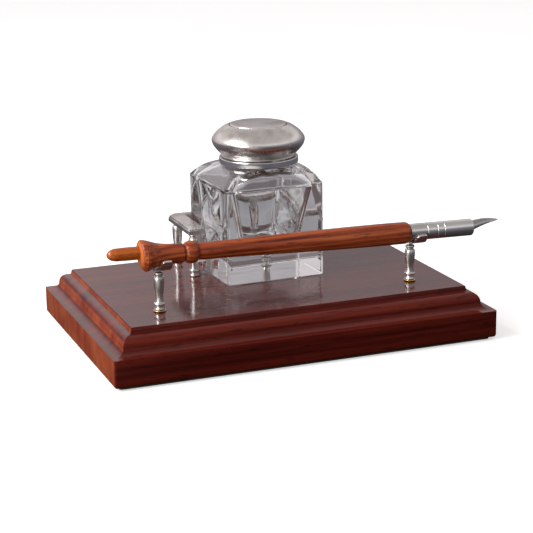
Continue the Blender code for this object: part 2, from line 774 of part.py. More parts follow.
def build_lid(builder, parent):
    """The domed lid shell with its middle knuckle, and the disc let into it, its liner and seal."""
    back = Vector((0, -HINGE_REACH, -HINGE_HEIGHT))
    hinge = builder.empty("lid_hinge_axis", Vector((NECK_SHIFT, 0, 0)) - back, parent=parent)
    profile = [*lid_outer_profile(), *lid_inner_profile()]
    shell = builder.turned("lid_shell", profile, "pewter", 28, back, hinge)
    pieces = build_knuckle(
        "lid", 0.0, HINGE_HEIGHT + 0.4 * MM, LID_BOTTOM + 1.3 * MM, LID_RIM_RADIUS - 0.8 * MM
    )
    join_meshes(builder, shell, pieces, hinge)
    bore_hinge(builder, shell, hinge)

    edge = arc((DISC_RADIUS - 0.5 * MM, DISC_TOP - 0.8 * MM), 0.5 * MM, 80, 0, 2)
    bottom = LID_FLAT_TOP + GAP
    disc = [
        (0.0, DISC_TOP + 0.2 * MM),
        (0.5 * DISC_RADIUS, DISC_TOP + 0.12 * MM),
        *edge,
        (DISC_RADIUS, bottom),
        (0.0, bottom),
    ]
    builder.turned("lid_disc", disc, "pewter", 28, back, hinge)

    liner_radius, liner_bottom, liner_top = 17.9 * MM, 86.2 * MM, 87.0 * MM
    liner = [(0.0, liner_top), (liner_radius, liner_top), (liner_radius, liner_bottom)]
    builder.turned("lid_liner", [*liner, (0.0, liner_bottom)], "pewter", 24, back, hinge)
    seal_radius, seal_bottom = 16.6 * MM, NECK_TOP + GAP
    seal_top = liner_bottom - GAP
    seal = [(0.0, seal_top), (seal_radius, seal_top), (seal_radius, seal_bottom)]
    builder.turned("lid_seal", [*seal, (0.0, seal_bottom)], "cork", 24, back, hinge)


def build_inkwell(builder):
    """The whole inkwell on an empty at its own centre, turned a little on the plinth."""
    centre = builder.empty("inkwell_centre", (WELL_X, WELL_Y, 0), (0, 0, WELL_TURN))
    build_bottle(builder, centre)
    build_cement(builder, centre)
    build_collar(builder, centre)
    build_hinge_pin(builder, centre)
    build_lid(builder, centre)


# ---------------------------------------------------------------- pen


def handle_profile():
    """The wooden handle, from the tenon's hole at the ferrule end down to its other end."""
    bore = TENON_RADIUS + GAP
    hole_end = TENON_START - GAP
    nose = arc((4.0 * MM, HANDLE_END - 2.4 * MM), (1.3 * MM, 2.4 * MM), 90, 10, 4)
    shaft = []
    thick_end, thin_end = 52.0 * MM, BEAD_END + 0.8 * MM
    for i in range(7):
        t = i / 6
        swell = 0.5 - 0.5 * math.cos(math.pi * (1 - t) ** 0.8)
        shaft.append((mix(4.0 * MM, 5.35 * MM, swell), mix(thick_end, thin_end, t)))
    bead_middle = (BEAD_START + BEAD_END) / 2
    bead = arc((3.9 * MM, bead_middle), (1.4 * MM, (BEAD_END - BEAD_START) / 2 - 0.3 * MM), 85, -85, 5)
    groove = 3.7 * MM
    neck = [
        (4.55 * MM, BEAD_START - 0.9 * MM),
        (4.6 * MM, -56.5 * MM),
        (4.85 * MM, -60.5 * MM),
        (5.5 * MM, -64.5 * MM),
        (6.4 * MM, -67.5 * MM),
        (7.15 * MM, -69.5 * MM),
    ]
    ridge = arc((6.7 * MM, HANDLE_RIDGE), 0.6 * MM, 60, -40, 3)
    end_centre = (3.4 * MM, HANDLE_RIDGE - 0.5 * MM)
    end = arc(end_centre, (3.6 * MM, end_centre[1] - HANDLE_TIP), -15, -90, 4)
    return [
        (0.0, hole_end),
        (bore, hole_end),
        (bore, HANDLE_END),
        *nose,
        *shaft,
        (groove, BEAD_END + 0.2 * MM),
        *bead,
        (groove, BEAD_START - 0.2 * MM),
        *neck,
        *ridge,
        *end,
        (0.0, HANDLE_TIP),
    ]


def realise(builder, item):
    """Replace a turned object by its evaluated mesh, so that its points can be moved."""
    evaluated = item.evaluated_get(bpy.context.evaluated_depsgraph_get())
    mesh = bpy.data.meshes.new_from_object(evaluated)
    item.modifiers.clear()
    item.data = mesh
    return item


def build_handle(builder, axis):
    """The handle; past its ridge the end is carved off centre, up to where the finial sits."""
    handle = realise(builder, builder.turned("pen_handle", handle_profile(), "rosewood", 18, parent=axis))
    for vert in handle.data.vertices:
        past_ridge = (HANDLE_RIDGE - vert.co.z) / (HANDLE_RIDGE - HANDLE_TIP)
        vert.co.x -= FINIAL_RISE * max(0.0, past_ridge)
    hole_radius = FINIAL_SPIGOT_RADIUS + GAP
    hole_top = FINIAL_SPIGOT_END + GAP
    hole = [
        (0.0, hole_top),
        (hole_radius, hole_top),
        (hole_radius, HANDLE_TIP - MM),
        (0.0, HANDLE_TIP - MM),
    ]
    cutter = builder.turned_cutter("finial_hole", hole, 14, (-FINIAL_RISE, 0, 0), axis)
    builder.cut(handle, cutter)


def build_finial(builder, axis):
    """The bullet-shaped finial, its spigot in the handle's end."""
    root = HANDLE_TIP - GAP
    tip_length = 5.0 * MM
    tip = arc((0.0, FINIAL_TIP + tip_length), (FINIAL_RADIUS, tip_length), 0, -90, 6)
    profile = [
        (0.0, FINIAL_SPIGOT_END),
        (FINIAL_SPIGOT_RADIUS, FINIAL_SPIGOT_END),
        (FINIAL_SPIGOT_RADIUS, root),
        (FINIAL_RADIUS, root),
        (FINIAL_RADIUS + 0.1 * MM, root - 4 * MM),
        *tip[:-1],
        (0.0, FINIAL_TIP),
    ]
    builder.turned("pen_finial", profile, "amber_wood", 16, (-FINIAL_RISE, 0, 0), axis)


def build_tenon(builder, axis):
    """The brass tenon that joins the wood to the ferrule."""
    wide = FERRULE_BORE - GAP
    step = HANDLE_END + GAP
    profile = [
        (0.0, TENON_END),
        (wide, TENON_END),
        (wide, step),
        (TENON_RADIUS, step),
        (TENON_RADIUS, TENON_START),
        (0.0, TENON_START),
    ]
    builder.turned("brass_tenon", profile, "brass", 14, parent=axis)


def build_ferrule(builder, axis):
    """The ferrule tube with three turned grooves and a chamfered mouth."""
    chamfer = 0.4 * MM
    depth, half_width = 0.25 * MM, 0.35 * MM
    outside = [(FERRULE_RADIUS - chamfer, FERRULE_END), (FERRULE_RADIUS, FERRULE_END - chamfer)]
    for middle in reversed(FERRULE_GROOVES):
        outside.append((FERRULE_RADIUS, middle + half_width))
        outside.append((FERRULE_RADIUS - depth, middle))
        outside.append((FERRULE_RADIUS, middle - half_width))
    inside = [(FERRULE_RADIUS, FERRULE_START), (FERRULE_BORE, FERRULE_START), (FERRULE_BORE, FERRULE_END)]
    builder.turned("pen_ferrule", [*outside, *inside], "nickel", 18, parent=axis, closed=True)


def build_collet(builder, axis):
    """The sleeve inside the ferrule that the nib is pushed over."""
    flange = FERRULE_BORE - GAP
    bore = 1.4 * MM
    profile = [
        (0.0, COLLET_FLANGE_END),
        (bore, COLLET_FLANGE_END),
        (bore, COLLET_END),
        (COLLET_RADIUS, COLLET_END),
        (COLLET_RADIUS, COLLET_FLANGE_END),
        (flange, COLLET_FLANGE_END),
        (flange, COLLET_START),
        (0.0, COLLET_START),
    ]
    builder.turned("nib_collet", profile, "brass", 14, parent=axis)


def nib_section(along):
    """A cross-section of the nib: (height of its crown, arc radius, half angle)."""
    if along <= FERRULE_END:
        return NIB_RADIUS, NIB_RADIUS, math.radians(101)
    t = (along - FERRULE_END) / (NIB_TIP - FERRULE_END)
    crown = NIB_RADIUS + 0.9 * MM * math.sin(math.pi * min(1.0, t * 0.85)) - 0.6 * MM * t ** 3
    radius = mix(0.35 * MM, NIB_RADIUS, (1 - t) ** 0.5)
    drop = 3.75 * MM * (1 - t) ** 0.75 + 0.08 * MM
    return crown, radius, math.acos(max(-1.0, 1 - drop / radius))


def build_nib(builder, axis):
    """The pressed nib: a half tube in the ferrule, its sides cut away towards the point."""
    pivot = builder.empty("nib_axis", (0, 0, NIB_START), parent=axis)
    bm = bmesh.new()
    bmesh.ops.create_grid(bm, x_segments=14, y_segments=8, size=1.0)
    for vert in bm.verts:
        along = mix(NIB_START, NIB_TIP, (vert.co.x + 1) / 2)
        crown, radius, half_angle = nib_section(along)
        angle = vert.co.y * half_angle
        height = crown - radius * (1 - math.cos(angle))
        vert.co = Vector((-height, radius * math.sin(angle), along - NIB_START))
    nib = builder.place("nib", mesh_from("nib", bm), "nib_steel", parent=pivot)
    crown_face = min(nib.data.polygons, key=lambda face: face.center.x)
    if crown_face.normal.x > 0:
        nib.data.flip_normals()
    solidify = nib.modifiers.new("sheet", "SOLIDIFY")
    solidify.thickness = NIB_THICKNESS
    solidify.offset = -1.0


def build_pen(builder):
    """The whole pen, built up its own Z axis, which an empty lays along the rests."""
    lie = (0, math.pi / 2 + PEN_SLOPE, 0)
    axis = builder.empty("pen_axis", (0, PEN_Y, PEN_HEIGHT_AT_CENTRE), lie)
    build_handle(builder, axis)
    build_finial(builder, axis)
    build_tenon(builder, axis)
    build_ferrule(builder, axis)
    build_collet(builder, axis)
    build_nib(builder, axis)


def main():
    """Build every sub-part."""
    clear_scene()
    builder = Builder()
    plinth = build_plinth(builder)
    build_pad(builder)
    for side in REST_X:
        build_rest(builder, side, plinth)
    rail = build_rail(builder)
    for where in LEG_PLACES:
        build_leg(builder, where, plinth, rail)
    build_inkwell(builder)
    build_pen(builder)


main()
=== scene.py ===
"""Looks of the desk inkstand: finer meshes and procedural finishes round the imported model.

Every piece is built in metres in the frame's own axes: X along the plinth towards the nib, Y towards
the inkwell's hinge, Z up from the desk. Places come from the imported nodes' boxes.
"""

import logging
import math
from dataclasses import dataclass
from enum import Enum
from typing import Any, Iterable, Sequence

import bmesh
import bpy
from mathutils import Matrix, Vector


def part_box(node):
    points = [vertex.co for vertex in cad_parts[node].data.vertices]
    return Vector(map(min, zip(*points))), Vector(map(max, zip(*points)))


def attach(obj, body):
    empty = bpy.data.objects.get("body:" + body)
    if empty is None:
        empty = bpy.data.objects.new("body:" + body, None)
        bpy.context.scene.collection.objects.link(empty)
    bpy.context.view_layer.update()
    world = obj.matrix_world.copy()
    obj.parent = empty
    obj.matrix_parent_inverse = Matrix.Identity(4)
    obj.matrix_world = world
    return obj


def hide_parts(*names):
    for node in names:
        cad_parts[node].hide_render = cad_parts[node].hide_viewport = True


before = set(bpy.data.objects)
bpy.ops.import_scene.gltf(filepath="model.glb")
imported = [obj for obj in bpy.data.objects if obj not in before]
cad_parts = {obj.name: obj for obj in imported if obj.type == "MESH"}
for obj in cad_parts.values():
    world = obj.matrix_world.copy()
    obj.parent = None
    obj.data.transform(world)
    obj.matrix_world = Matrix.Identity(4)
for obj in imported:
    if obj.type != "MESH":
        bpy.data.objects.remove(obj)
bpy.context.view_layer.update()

LOG = logging.getLogger("inkstand")
MM = 0.001
Point = tuple[float, float]
Colour = tuple[float, float, float]
Ring = tuple[float, float, float, float]


class Body(Enum):
    """The rigid bodies that pieces ride on."""

    STAND = "stand"
    INKWELL = "inkwell"
    LID = "lid"
    PEN = "pen"
    NIB = "nib"


class Slot(Enum):
    """The record's material slots."""

    MAHOGANY = "mahogany"
    BAIZE = "baize"
    PEWTER = "pewter"
    BRASS = "brass"
    STEEL = "steel"
    NICKEL = "nickel"
    GLASS = "glass"
    CEMENT = "cement"
    CORK = "cork"
    ROSEWOOD = "rosewood"
    AMBER_WOOD = "amber_wood"
    NIB_STEEL = "nib_steel"


class Side(Enum):
    """The two pen rests."""

    LEFT = "left"
    RIGHT = "right"


# ---------------------------------------------------------------- shader maths


class Field:
    """A number that varies over a surface, written with ordinary operators."""

    def __init__(self, shader: "Shader", socket: bpy.types.NodeSocket) -> None:
        """Wrap a socket of a shader's node tree."""
        self.shader = shader
        self.socket = socket

    def _math(self, operation: str, *values: Any) -> "Field":
        """Add a Math node.

        Args:
            operation: The node's operation.
            values: Numbers or fields for its inputs.

        Returns:
            The node's result.
        """
        return self.shader.node("ShaderNodeMath", {"operation": operation}, dict(enumerate(values)))

    def __add__(self, other: Any) -> "Field":
        """Return the sum."""
        return self._math("ADD", self, other)

    def __radd__(self, other: Any) -> "Field":
        """Return the sum."""
        return self._math("ADD", other, self)

    def __sub__(self, other: Any) -> "Field":
        """Return the difference."""
        return self._math("SUBTRACT", self, other)

    def __rsub__(self, other: Any) -> "Field":
        """Return the reflected difference."""
        return self._math("SUBTRACT", other, self)

    def __mul__(self, other: Any) -> "Field":
        """Return the product."""
        return self._math("MULTIPLY", self, other)

    def __rmul__(self, other: Any) -> "Field":
        """Return the product."""
        return self._math("MULTIPLY", other, self)

    def sine(self) -> "Field":
        """Return the sine."""
        return self._math("SINE", self)

    def above(self, low: float, high: float) -> "Field":
        """Return 0 below low, 1 above high, and a smooth rise between."""
        settings = {"interpolation_type": "SMOOTHSTEP"}
        return self.shader.node("ShaderNodeMapRange", settings, {0: self, 1: low, 2: high})


class Shader:
    """One material's node tree, with the few calls that the finishes need."""

    def __init__(self, name: str) -> None:
        """Make a new material with a Principled shader.

        Args:
            name: The material's name.
        """
        self.material = bpy.data.materials.new(name)
        self.material.use_nodes = True
        self.tree = self.material.node_tree
        self.principled = self.tree.nodes["Principled BSDF"]

    def node(self, kind: str, settings: dict[str, Any], inputs: dict[Any, Any], output: Any = 0) -> Field:
        """Add any node.

        Args:
            kind: The node's type.
            settings: Its attributes, and "stops" for a colour ramp.
            inputs: Values or links by socket name or number.
            output: The socket to return, by name or number.

        Returns:
            The chosen output.
        """
        made = self.tree.nodes.new(kind)
        for key, value in settings.items():
            if key == "stops":
                self._set_stops(made.color_ramp, value)
            else:
                setattr(made, key, value)
        for key, value in inputs.items():
            if isinstance(value, Field):
                self.tree.links.new(value.socket, made.inputs[key])
            else:
                made.inputs[key].default_value = value
        return Field(self, made.outputs[output])

    @staticmethod
    def _set_stops(ramp: bpy.types.ColorRamp, stops: Sequence[tuple[float, Colour]]) -> None:
        """Give a colour ramp its stops.

        Args:
            ramp: The ramp.
            stops: Positions and linear colours, in order.
        """
        while len(ramp.elements) < len(stops):
            ramp.elements.new(0.5)
        for element, (position, colour) in zip(ramp.elements, stops):
            element.position = position
            element.color = (*colour, 1.0)

    def place(self) -> Field:
        """Return the surface point in the piece's own axes."""
        return self.node("ShaderNodeTexCoord", {}, {}, "Object")

    def facing(self) -> Field:
        """Return the surface normal in the piece's own axes."""
        return self.node("ShaderNodeTexCoord", {}, {}, "Normal")

    def part(self, vector: Field, axis: str) -> Field:
        """Return one component of a vector."""
        return self.node("ShaderNodeSeparateXYZ", {}, {0: vector}, axis)

    def scaled(self, vector: Field, factors: Colour, shift: Colour = (0.0, 0.0, 0.0)) -> Field:
        """Return a vector moved by shift, then stretched by factors."""
        moved = self.node("ShaderNodeVectorMath", {"operation": "ADD"}, {0: vector, 1: shift})
        return self.node("ShaderNodeVectorMath", {"operation": "MULTIPLY"}, {0: moved, 1: factors})

    def length(self, vector: Field) -> Field:
        """Return a vector's length."""
        return self.node("ShaderNodeVectorMath", {"operation": "LENGTH"}, {0: vector}, "Value")

    def noise(self, vector: Field, scale: float, detail: float = 3.0, warp: float = 0.0) -> Field:
        """Return fractal noise from about 0.2 to 0.8.

        Args:
            vector: Where to read it.
            scale: Features per metre.
            detail: Octaves.
            warp: How much the pattern folds over itself.

        Returns:
            The noise.
        """
        inputs = {"Vector": vector, "Scale": scale, "Detail": detail, "Distortion": warp}
        return self.node("ShaderNodeTexNoise", {}, inputs, "Fac")

    def ramp(self, value: Field, stops: Sequence[tuple[float, Colour]]) -> Field:
        """Return a colour read from stops."""
        return self.node("ShaderNodeValToRGB", {"stops": stops}, {0: value}, "Color")

    def blend(self, share: Any, first: Any, second: Any) -> Field:
        """Mix two colours.

        Args:
            share: How much of the second.
            first: A colour or a link to one.
            second: Another.

        Returns:
            The mixed colour.
        """
        colours = [(*c, 1.0) if isinstance(c, tuple) else c for c in (first, second)]
        inputs = {0: share, 6: colours[0], 7: colours[1]}
        return self.node("ShaderNodeMix", {"data_type": "RGBA"}, inputs, 2)

    def paint(self, **sockets: Any) -> None:
        """Set or link sockets of the Principled shader.

        Args:
            sockets: Values or fields by socket name; underscores stand for spaces.
        """
        for key, value in sockets.items():
            socket = self.principled.inputs[key.replace("_", " ")]
            if isinstance(value, Field):
                self.tree.links.new(value.socket, socket)
            else:
                socket.default_value = value

    def relief(self, height: Field, distance: float, strength: float = 1.0) -> None:
        """Bump the surface.

        Args:
            height: The relief, 0 to 1.
            distance: What 1 stands for, in metres.
            strength: The node's strength.
        """
        inputs = {"Height": height, "Distance": distance, "Strength": strength}
        self.paint(Normal=self.node("ShaderNodeBump", {}, inputs))


# ---------------------------------------------------------------- finishes


@dataclass(frozen=True)
class Lacquered:
    """Solid wood with rings round a far pith, fibres along X, open pores and a clear coat."""

    dark: Colour
    middle: Colour
    light: Colour
    end_colour: Colour
    pith: Point = (0.05, -0.16)
    ring_pitch: float = 9.0 * MM
    fibre: float = 700.0
    end_light: float = 0.9
    gloss: float = 0.11
    top_polish: float = 1.0
    side_polish: float = 0.12
    figure: float = 150.0
    stretch: float = 0.025
    tones: tuple[float, float, float, float] = (0.10, 0.40, 0.25, 0.40)
    steps: tuple[float, float, float] = (0.40, 0.56, 0.76)
    pore_depth: float = 0.02 * MM

    def make(self, name: str) -> bpy.types.Material:
        """Make the material.

        Args:
            name: Its name.

        Returns:
            The material.
        """
        s = Shader(name)
        place = s.place()
        warp = s.noise(s.scaled(place, (4.0, 34.0, 34.0)), 1.0, 3.0)
        rings = s.length(s.scaled(place, (0.03, 1.0, 1.0), (0.0, self.pith[0], self.pith[1])))
        turns = (rings + warp * (1.6 * self.ring_pitch)) * (math.tau / self.ring_pitch)
        bands = turns.sine() * 0.5 + 0.5
        fibres = s.noise(s.scaled(place, (self.stretch, 1.0, 1.0)), self.fibre, 4.0, 0.4)
        cloud = s.noise(s.scaled(place, (0.25, 1.0, 1.0)), 45.0, 2.0)
        streaks = s.noise(s.scaled(place, (0.012, 1.0, 1.0)), 0.28 * self.fibre, 3.0, 0.3)
        by_band, by_fibre, by_cloud, by_streak = self.tones
        tone = bands * by_band + fibres * by_fibre + cloud * by_cloud + streaks * by_streak
        colour = s.ramp(tone, list(zip(self.steps, (self.dark, self.middle, self.light))))
        pores = s.noise(s.scaled(place, (0.10, 1.0, 1.0)), 1.7 * self.fibre, 2.0).above(0.58, 0.68)
        colour = s.blend(pores * 0.55, colour, tuple(0.35 * c for c in self.dark))
        normal = s.facing()
        end = s.part(normal, "X")
        cut_across = (end * end).above(0.55, 0.9)
        flecks = s.noise(s.scaled(place, (1.0, 1.0, 0.45)), self.figure, 4.0, 0.5)
        figure = (0.55 * flecks + 0.45 * cloud).above(0.25, 0.80)
        end_grain = s.blend(figure, self.light, self.end_colour)
        colour = s.blend(cut_across * self.end_light, colour, end_grain)
        smears = s.noise(place, 60.0, 3.0, 0.6)
        s.paint(Base_Color=colour, Roughness=0.34 + 0.2 * fibres, Specular_IOR_Level=0.08)
        flat = s.part(normal, "Z").above(0.6, 0.98)
        polish = self.side_polish + (self.top_polish - self.side_polish) * flat
        s.paint(Coat_Weight=polish * (0.86 + 0.14 * smears), Coat_Roughness=self.gloss, Coat_IOR=1.5)
        s.relief(1.0 - pores * 0.7 - fibres * 0.3, self.pore_depth)
        return s.material


@dataclass(frozen=True)
class Metal:
    """A bare metal with cloudy tarnish, fine scratches and a hand-rubbed roughness."""

    clean: Colour
    tarnish: Colour
    roughness: float
    spread: float = 0.10
    cloud: float = 55.0
    scratch: float = 0.002 * MM

    def make(self, name: str) -> bpy.types.Material:
        """Make the material.

        Args:
            name: Its name.

        Returns:
            The material.
        """
        s = Shader(name)
        place = s.place()
        cloud = s.noise(place, self.cloud, 4.0, 0.5)
        speck = s.noise(place, 1400.0, 2.0)
        worn = (cloud * 0.9 + speck * 0.1).above(0.36, 0.72)
        rub = s.noise(s.scaled(place, (1.0, 1.0, 9.0)), 900.0, 3.0)
        s.paint(Base_Color=s.blend(worn, self.clean, self.tarnish), Metallic=1.0)
        s.paint(Roughness=self.roughness - 0.5 * self.spread + self.spread * cloud + 0.05 * rub)
        s.relief(rub * 0.8 + speck * 0.2, self.scratch)
        return s.material


@dataclass(frozen=True)
class PressedGlass:
    """Thick clear glass with the faint waviness of a pressed bottle."""

    tint: Colour = (0.955, 0.965, 0.975)
    ior: float = 1.5
    wave: float = 0.10 * MM

    def make(self, name: str) -> bpy.types.Material:
        """Make the material.

        Args:
            name: Its name.

        Returns:
            The material.
        """
        s = Shader(name)
        place = s.place()
        smears = s.noise(place, 240.0, 3.0)
        s.paint(Base_Color=(*self.tint, 1.0), IOR=self.ior, Transmission_Weight=1.0)
        s.paint(Roughness=smears.above(0.55, 0.85) * 0.03)
        s.relief(s.noise(place, 70.0, 1.0), self.wave)
        return s.material


@dataclass(frozen=True)
class Matte:
    """A dull granular or fibrous stuff, such as cork, plaster or baize."""

    first: Colour
    second: Colour
    grain: float
    depth: float
    sheen: float = 0.0

    def make(self, name: str) -> bpy.types.Material:
        """Make the material.

        Args:
            name: Its name.

        Returns:
            The material.
        """
        s = Shader(name)
        place = s.place()
        grain = s.noise(place, self.grain, 4.0, 0.3)
        cloud = s.noise(place, 0.1 * self.grain, 2.0)
        mixed = (0.7 * grain + 0.3 * cloud).above(0.35, 0.65)
        s.paint(Base_Color=s.blend(mixed, self.first, self.second), Sheen_Weight=self.sheen)
        s.paint(Roughness=0.85 + 0.1 * cloud)
        s.relief(grain, self.depth)
        return s.material


MAHOGANY = Lacquered(
    (0.034, 0.0026, 0.0014),
    (0.075, 0.0062, 0.0034),
    (0.135, 0.0150, 0.0062),
    end_colour=(0.330, 0.080, 0.028),
)
PEN_WOOD = Lacquered(
    (0.055, 0.0070, 0.0030),
    (0.250, 0.0400, 0.0110),
    (0.480, 0.1250, 0.0300),
    end_colour=(0.600, 0.1700, 0.0380),
    pith=(0.034, -0.040),
    ring_pitch=2.4 * MM,
    fibre=1000.0,
    gloss=0.08,
    top_polish=0.45,
    side_polish=0.45,
)
AMBER_WOOD = Lacquered(
    (0.230, 0.0360, 0.0012),
    (0.340, 0.0640, 0.0028),
    (0.440, 0.1050, 0.0070),
    end_colour=(0.440, 0.1100, 0.0090),
    pith=(0.034, -0.045),
    ring_pitch=1.8 * MM,
    fibre=1200.0,
    end_light=0.1,
    gloss=0.05,
    side_polish=0.8,
)
Finish = Lacquered | Metal | PressedGlass | Matte
FINISHES: dict[Slot, Finish] = {
    Slot.MAHOGANY: MAHOGANY,
    Slot.ROSEWOOD: PEN_WOOD,
    Slot.AMBER_WOOD: AMBER_WOOD,
    Slot.PEWTER: Metal((0.78, 0.75, 0.73), (0.50, 0.455, 0.415), 0.25, cloud=105.0),
    Slot.NICKEL: Metal((0.70, 0.685, 0.68), (0.56, 0.54, 0.53), 0.10, spread=0.05),
    Slot.BRASS: Metal((0.83, 0.57, 0.22), (0.60, 0.36, 0.12), 0.22),
    Slot.STEEL: Metal((0.48, 0.48, 0.49), (0.30, 0.29, 0.28), 0.32),
    Slot.NIB_STEEL: Metal((0.42, 0.41, 0.42), (0.22, 0.21, 0.22), 0.20),
    Slot.GLASS: PressedGlass(),
    Slot.CEMENT: Matte((0.62, 0.60, 0.54), (0.50, 0.47, 0.41), 2500.0, 0.05 * MM),
    Slot.CORK: Matte((0.42, 0.25, 0.12), (0.20, 0.10, 0.045), 900.0, 0.15 * MM),
    Slot.BAIZE: Matte((0.020, 0.070, 0.034), (0.010, 0.036, 0.018), 3500.0, 0.12 * MM, sheen=0.4),
}


class Wardrobe:
    """Makes each finish once and dresses pieces in it."""

    def __init__(self) -> None:
        """Start with nothing made."""
        self._made: dict[Slot, bpy.types.Material] = {}

    def material(self, slot: Slot) -> bpy.types.Material:
        """Look up a slot's material, and make it on first use.

        Args:
            slot: The record's slot.

        Returns:
            The material.
        """
        if slot not in self._made:
            self._made[slot] = FINISHES[slot].make(f"{slot.value}_finish")
        return self._made[slot]

    def dress(self, piece: bpy.types.Object, slot: Slot) -> None:
        """Put a slot's finish on a piece, in place of any it has.

        Args:
            piece: The piece.
            slot: Whose finish it gets.
        """
        if not piece.data.materials:
            piece.data.materials.append(None)
        for index in range(len(piece.data.materials)):
            piece.data.materials[index] = self.material(slot)


WARDROBE = Wardrobe()


# ---------------------------------------------------------------- mesh tools


def arc(centre: Point, radius: Point, start: float, end: float, steps: int) -> list[Point]:
    """Return points on an elliptical arc.

    Args:
        centre: Its middle.
        radius: Half sizes across and up.
        start: First angle in degrees, 0 outward and 90 up.
        end: Last angle.
        steps: Number of spans.

    Returns:
        The points in order.
    """
    angles = [math.radians(start + (end - start) * i / steps) for i in range(steps + 1)]
    return [(centre[0] + radius[0] * math.cos(a), centre[1] + radius[1] * math.sin(a)) for a in angles]


def smooth(points: Sequence[Point], steps: int = 6) -> list[Point]:
    """Run a smooth curve through points.

    Args:
        points: What it passes through.
        steps: Spans between two points.

    Returns:
        The finer points.
    """
    padded = [points[0], *points, points[-1]]
    fine: list[Point] = []
    for a, b, c, d in zip(padded, padded[1:], padded[2:], padded[3:]):
        for i in range(steps):
            t = i / steps
            fine.append(
                tuple(
                    0.5
                    * (
                        2 * q
                        + (r - p) * t
                        + (2 * p - 5 * q + 4 * r - w) * t * t
                        + (3 * q - p - 3 * r + w) * t**3
                    )
                    for p, q, r, w in zip(a, b, c, d)
                )
            )
    return [*fine, points[-1]]


def mix(a: float, b: float, t: float) -> float:
    """Return the value a share t of the way from a to b."""
    return a + (b - a) * t


def middle(node: str) -> Vector:
    """Return the middle of a node's box."""
    low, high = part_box(node)
    return (Vector(low) + Vector(high)) / 2


def top(node: str) -> float:
    """Return a node's highest point."""
    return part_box(node)[1][2]


def bottom(node: str) -> float:
    """Return a node's lowest point."""
    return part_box(node)[0][2]


@dataclass
class Piece:
    """One visible piece: its name, body, slot and the nodes that it stands for."""

    name: str
    body: Body
    slot: Slot
    nodes: tuple[str, ...]

    def finish(self, bm: bmesh.types.BMesh, sharp: float = 35.0) -> bpy.types.Object:
        """Turn a bmesh into the dressed piece and hand it to the frame.

        Args:
            bm: The shape, in the frame's axes; it is freed.
            sharp: Edges past this angle in degrees stay sharp.

        Returns:
            The piece.
        """
        bmesh.ops.recalc_face_normals(bm, faces=bm.faces)
        mesh = bpy.data.meshes.new(self.name)
        bm.to_mesh(mesh)
        bm.free()
        mesh.shade_smooth()
        mesh.set_sharp_from_angle(angle=math.radians(sharp))
        piece = bpy.data.objects.new(self.name, mesh)
        bpy.context.scene.collection.objects.link(piece)
        WARDROBE.dress(piece, self.slot)
        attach(piece, self.body.value)
        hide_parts(*self.nodes)
        LOG.info("%s rides on %s", self.name, self.body.value)
        return piece


def soften(piece: bpy.types.Object, width: float, angle: float = 35.0, segments: int = 2) -> None:
    """Round a piece's hard edges.

    Args:
        piece: The piece.
        width: The rounding's width.
        angle: Edges past this angle in degrees are rounded.
        segments: Spans across the rounding.
    """
    bevel = piece.modifiers.new("soft_edges", "BEVEL")
    bevel.limit_method = "ANGLE"
    bevel.angle_limit = math.radians(angle)
    bevel.width = width
    bevel.segments = segments
    bevel.harden_normals = True


def lathe(
    profile: Sequence[Point], place: Matrix, segments: int = 72, closed: bool = False
) -> bmesh.types.BMesh:
    """Turn a profile round its local Z axis.

    Args:
        profile: (radius, height) points down the outer side.
        place: Where the local axes lie.
        segments: Spans round the axis.
        closed: True for a ring, whose last point joins its first.

    Returns:
        The closed shape.
    """
    bm = bmesh.new()
    verts = [bm.verts.new((radius, 0.0, height)) for radius, height in profile]
    pairs = list(zip(verts, verts[1:]))
    if closed:
        pairs.append((verts[-1], verts[0]))
    edges = [bm.edges.new(pair) for pair in pairs]
    bmesh.ops.spin(
        bm,
        geom=[*verts, *edges],
        cent=(0, 0, 0),
        axis=(0, 0, 1),
        angle=math.tau,
        steps=segments,
        use_merge=True,
        use_duplicate=False,
    )
    bmesh.ops.remove_doubles(bm, verts=bm.verts, dist=0.002 * MM)
    bmesh.ops.transform(bm, matrix=place, verts=bm.verts)
    return bm


def upright(node: str) -> Matrix:
    """Return axes at a node's foot, upright on its own middle."""
    at = middle(node)
    return Matrix.Translation((at.x, at.y, bottom(node)))


# ---------------------------------------------------------------- stand


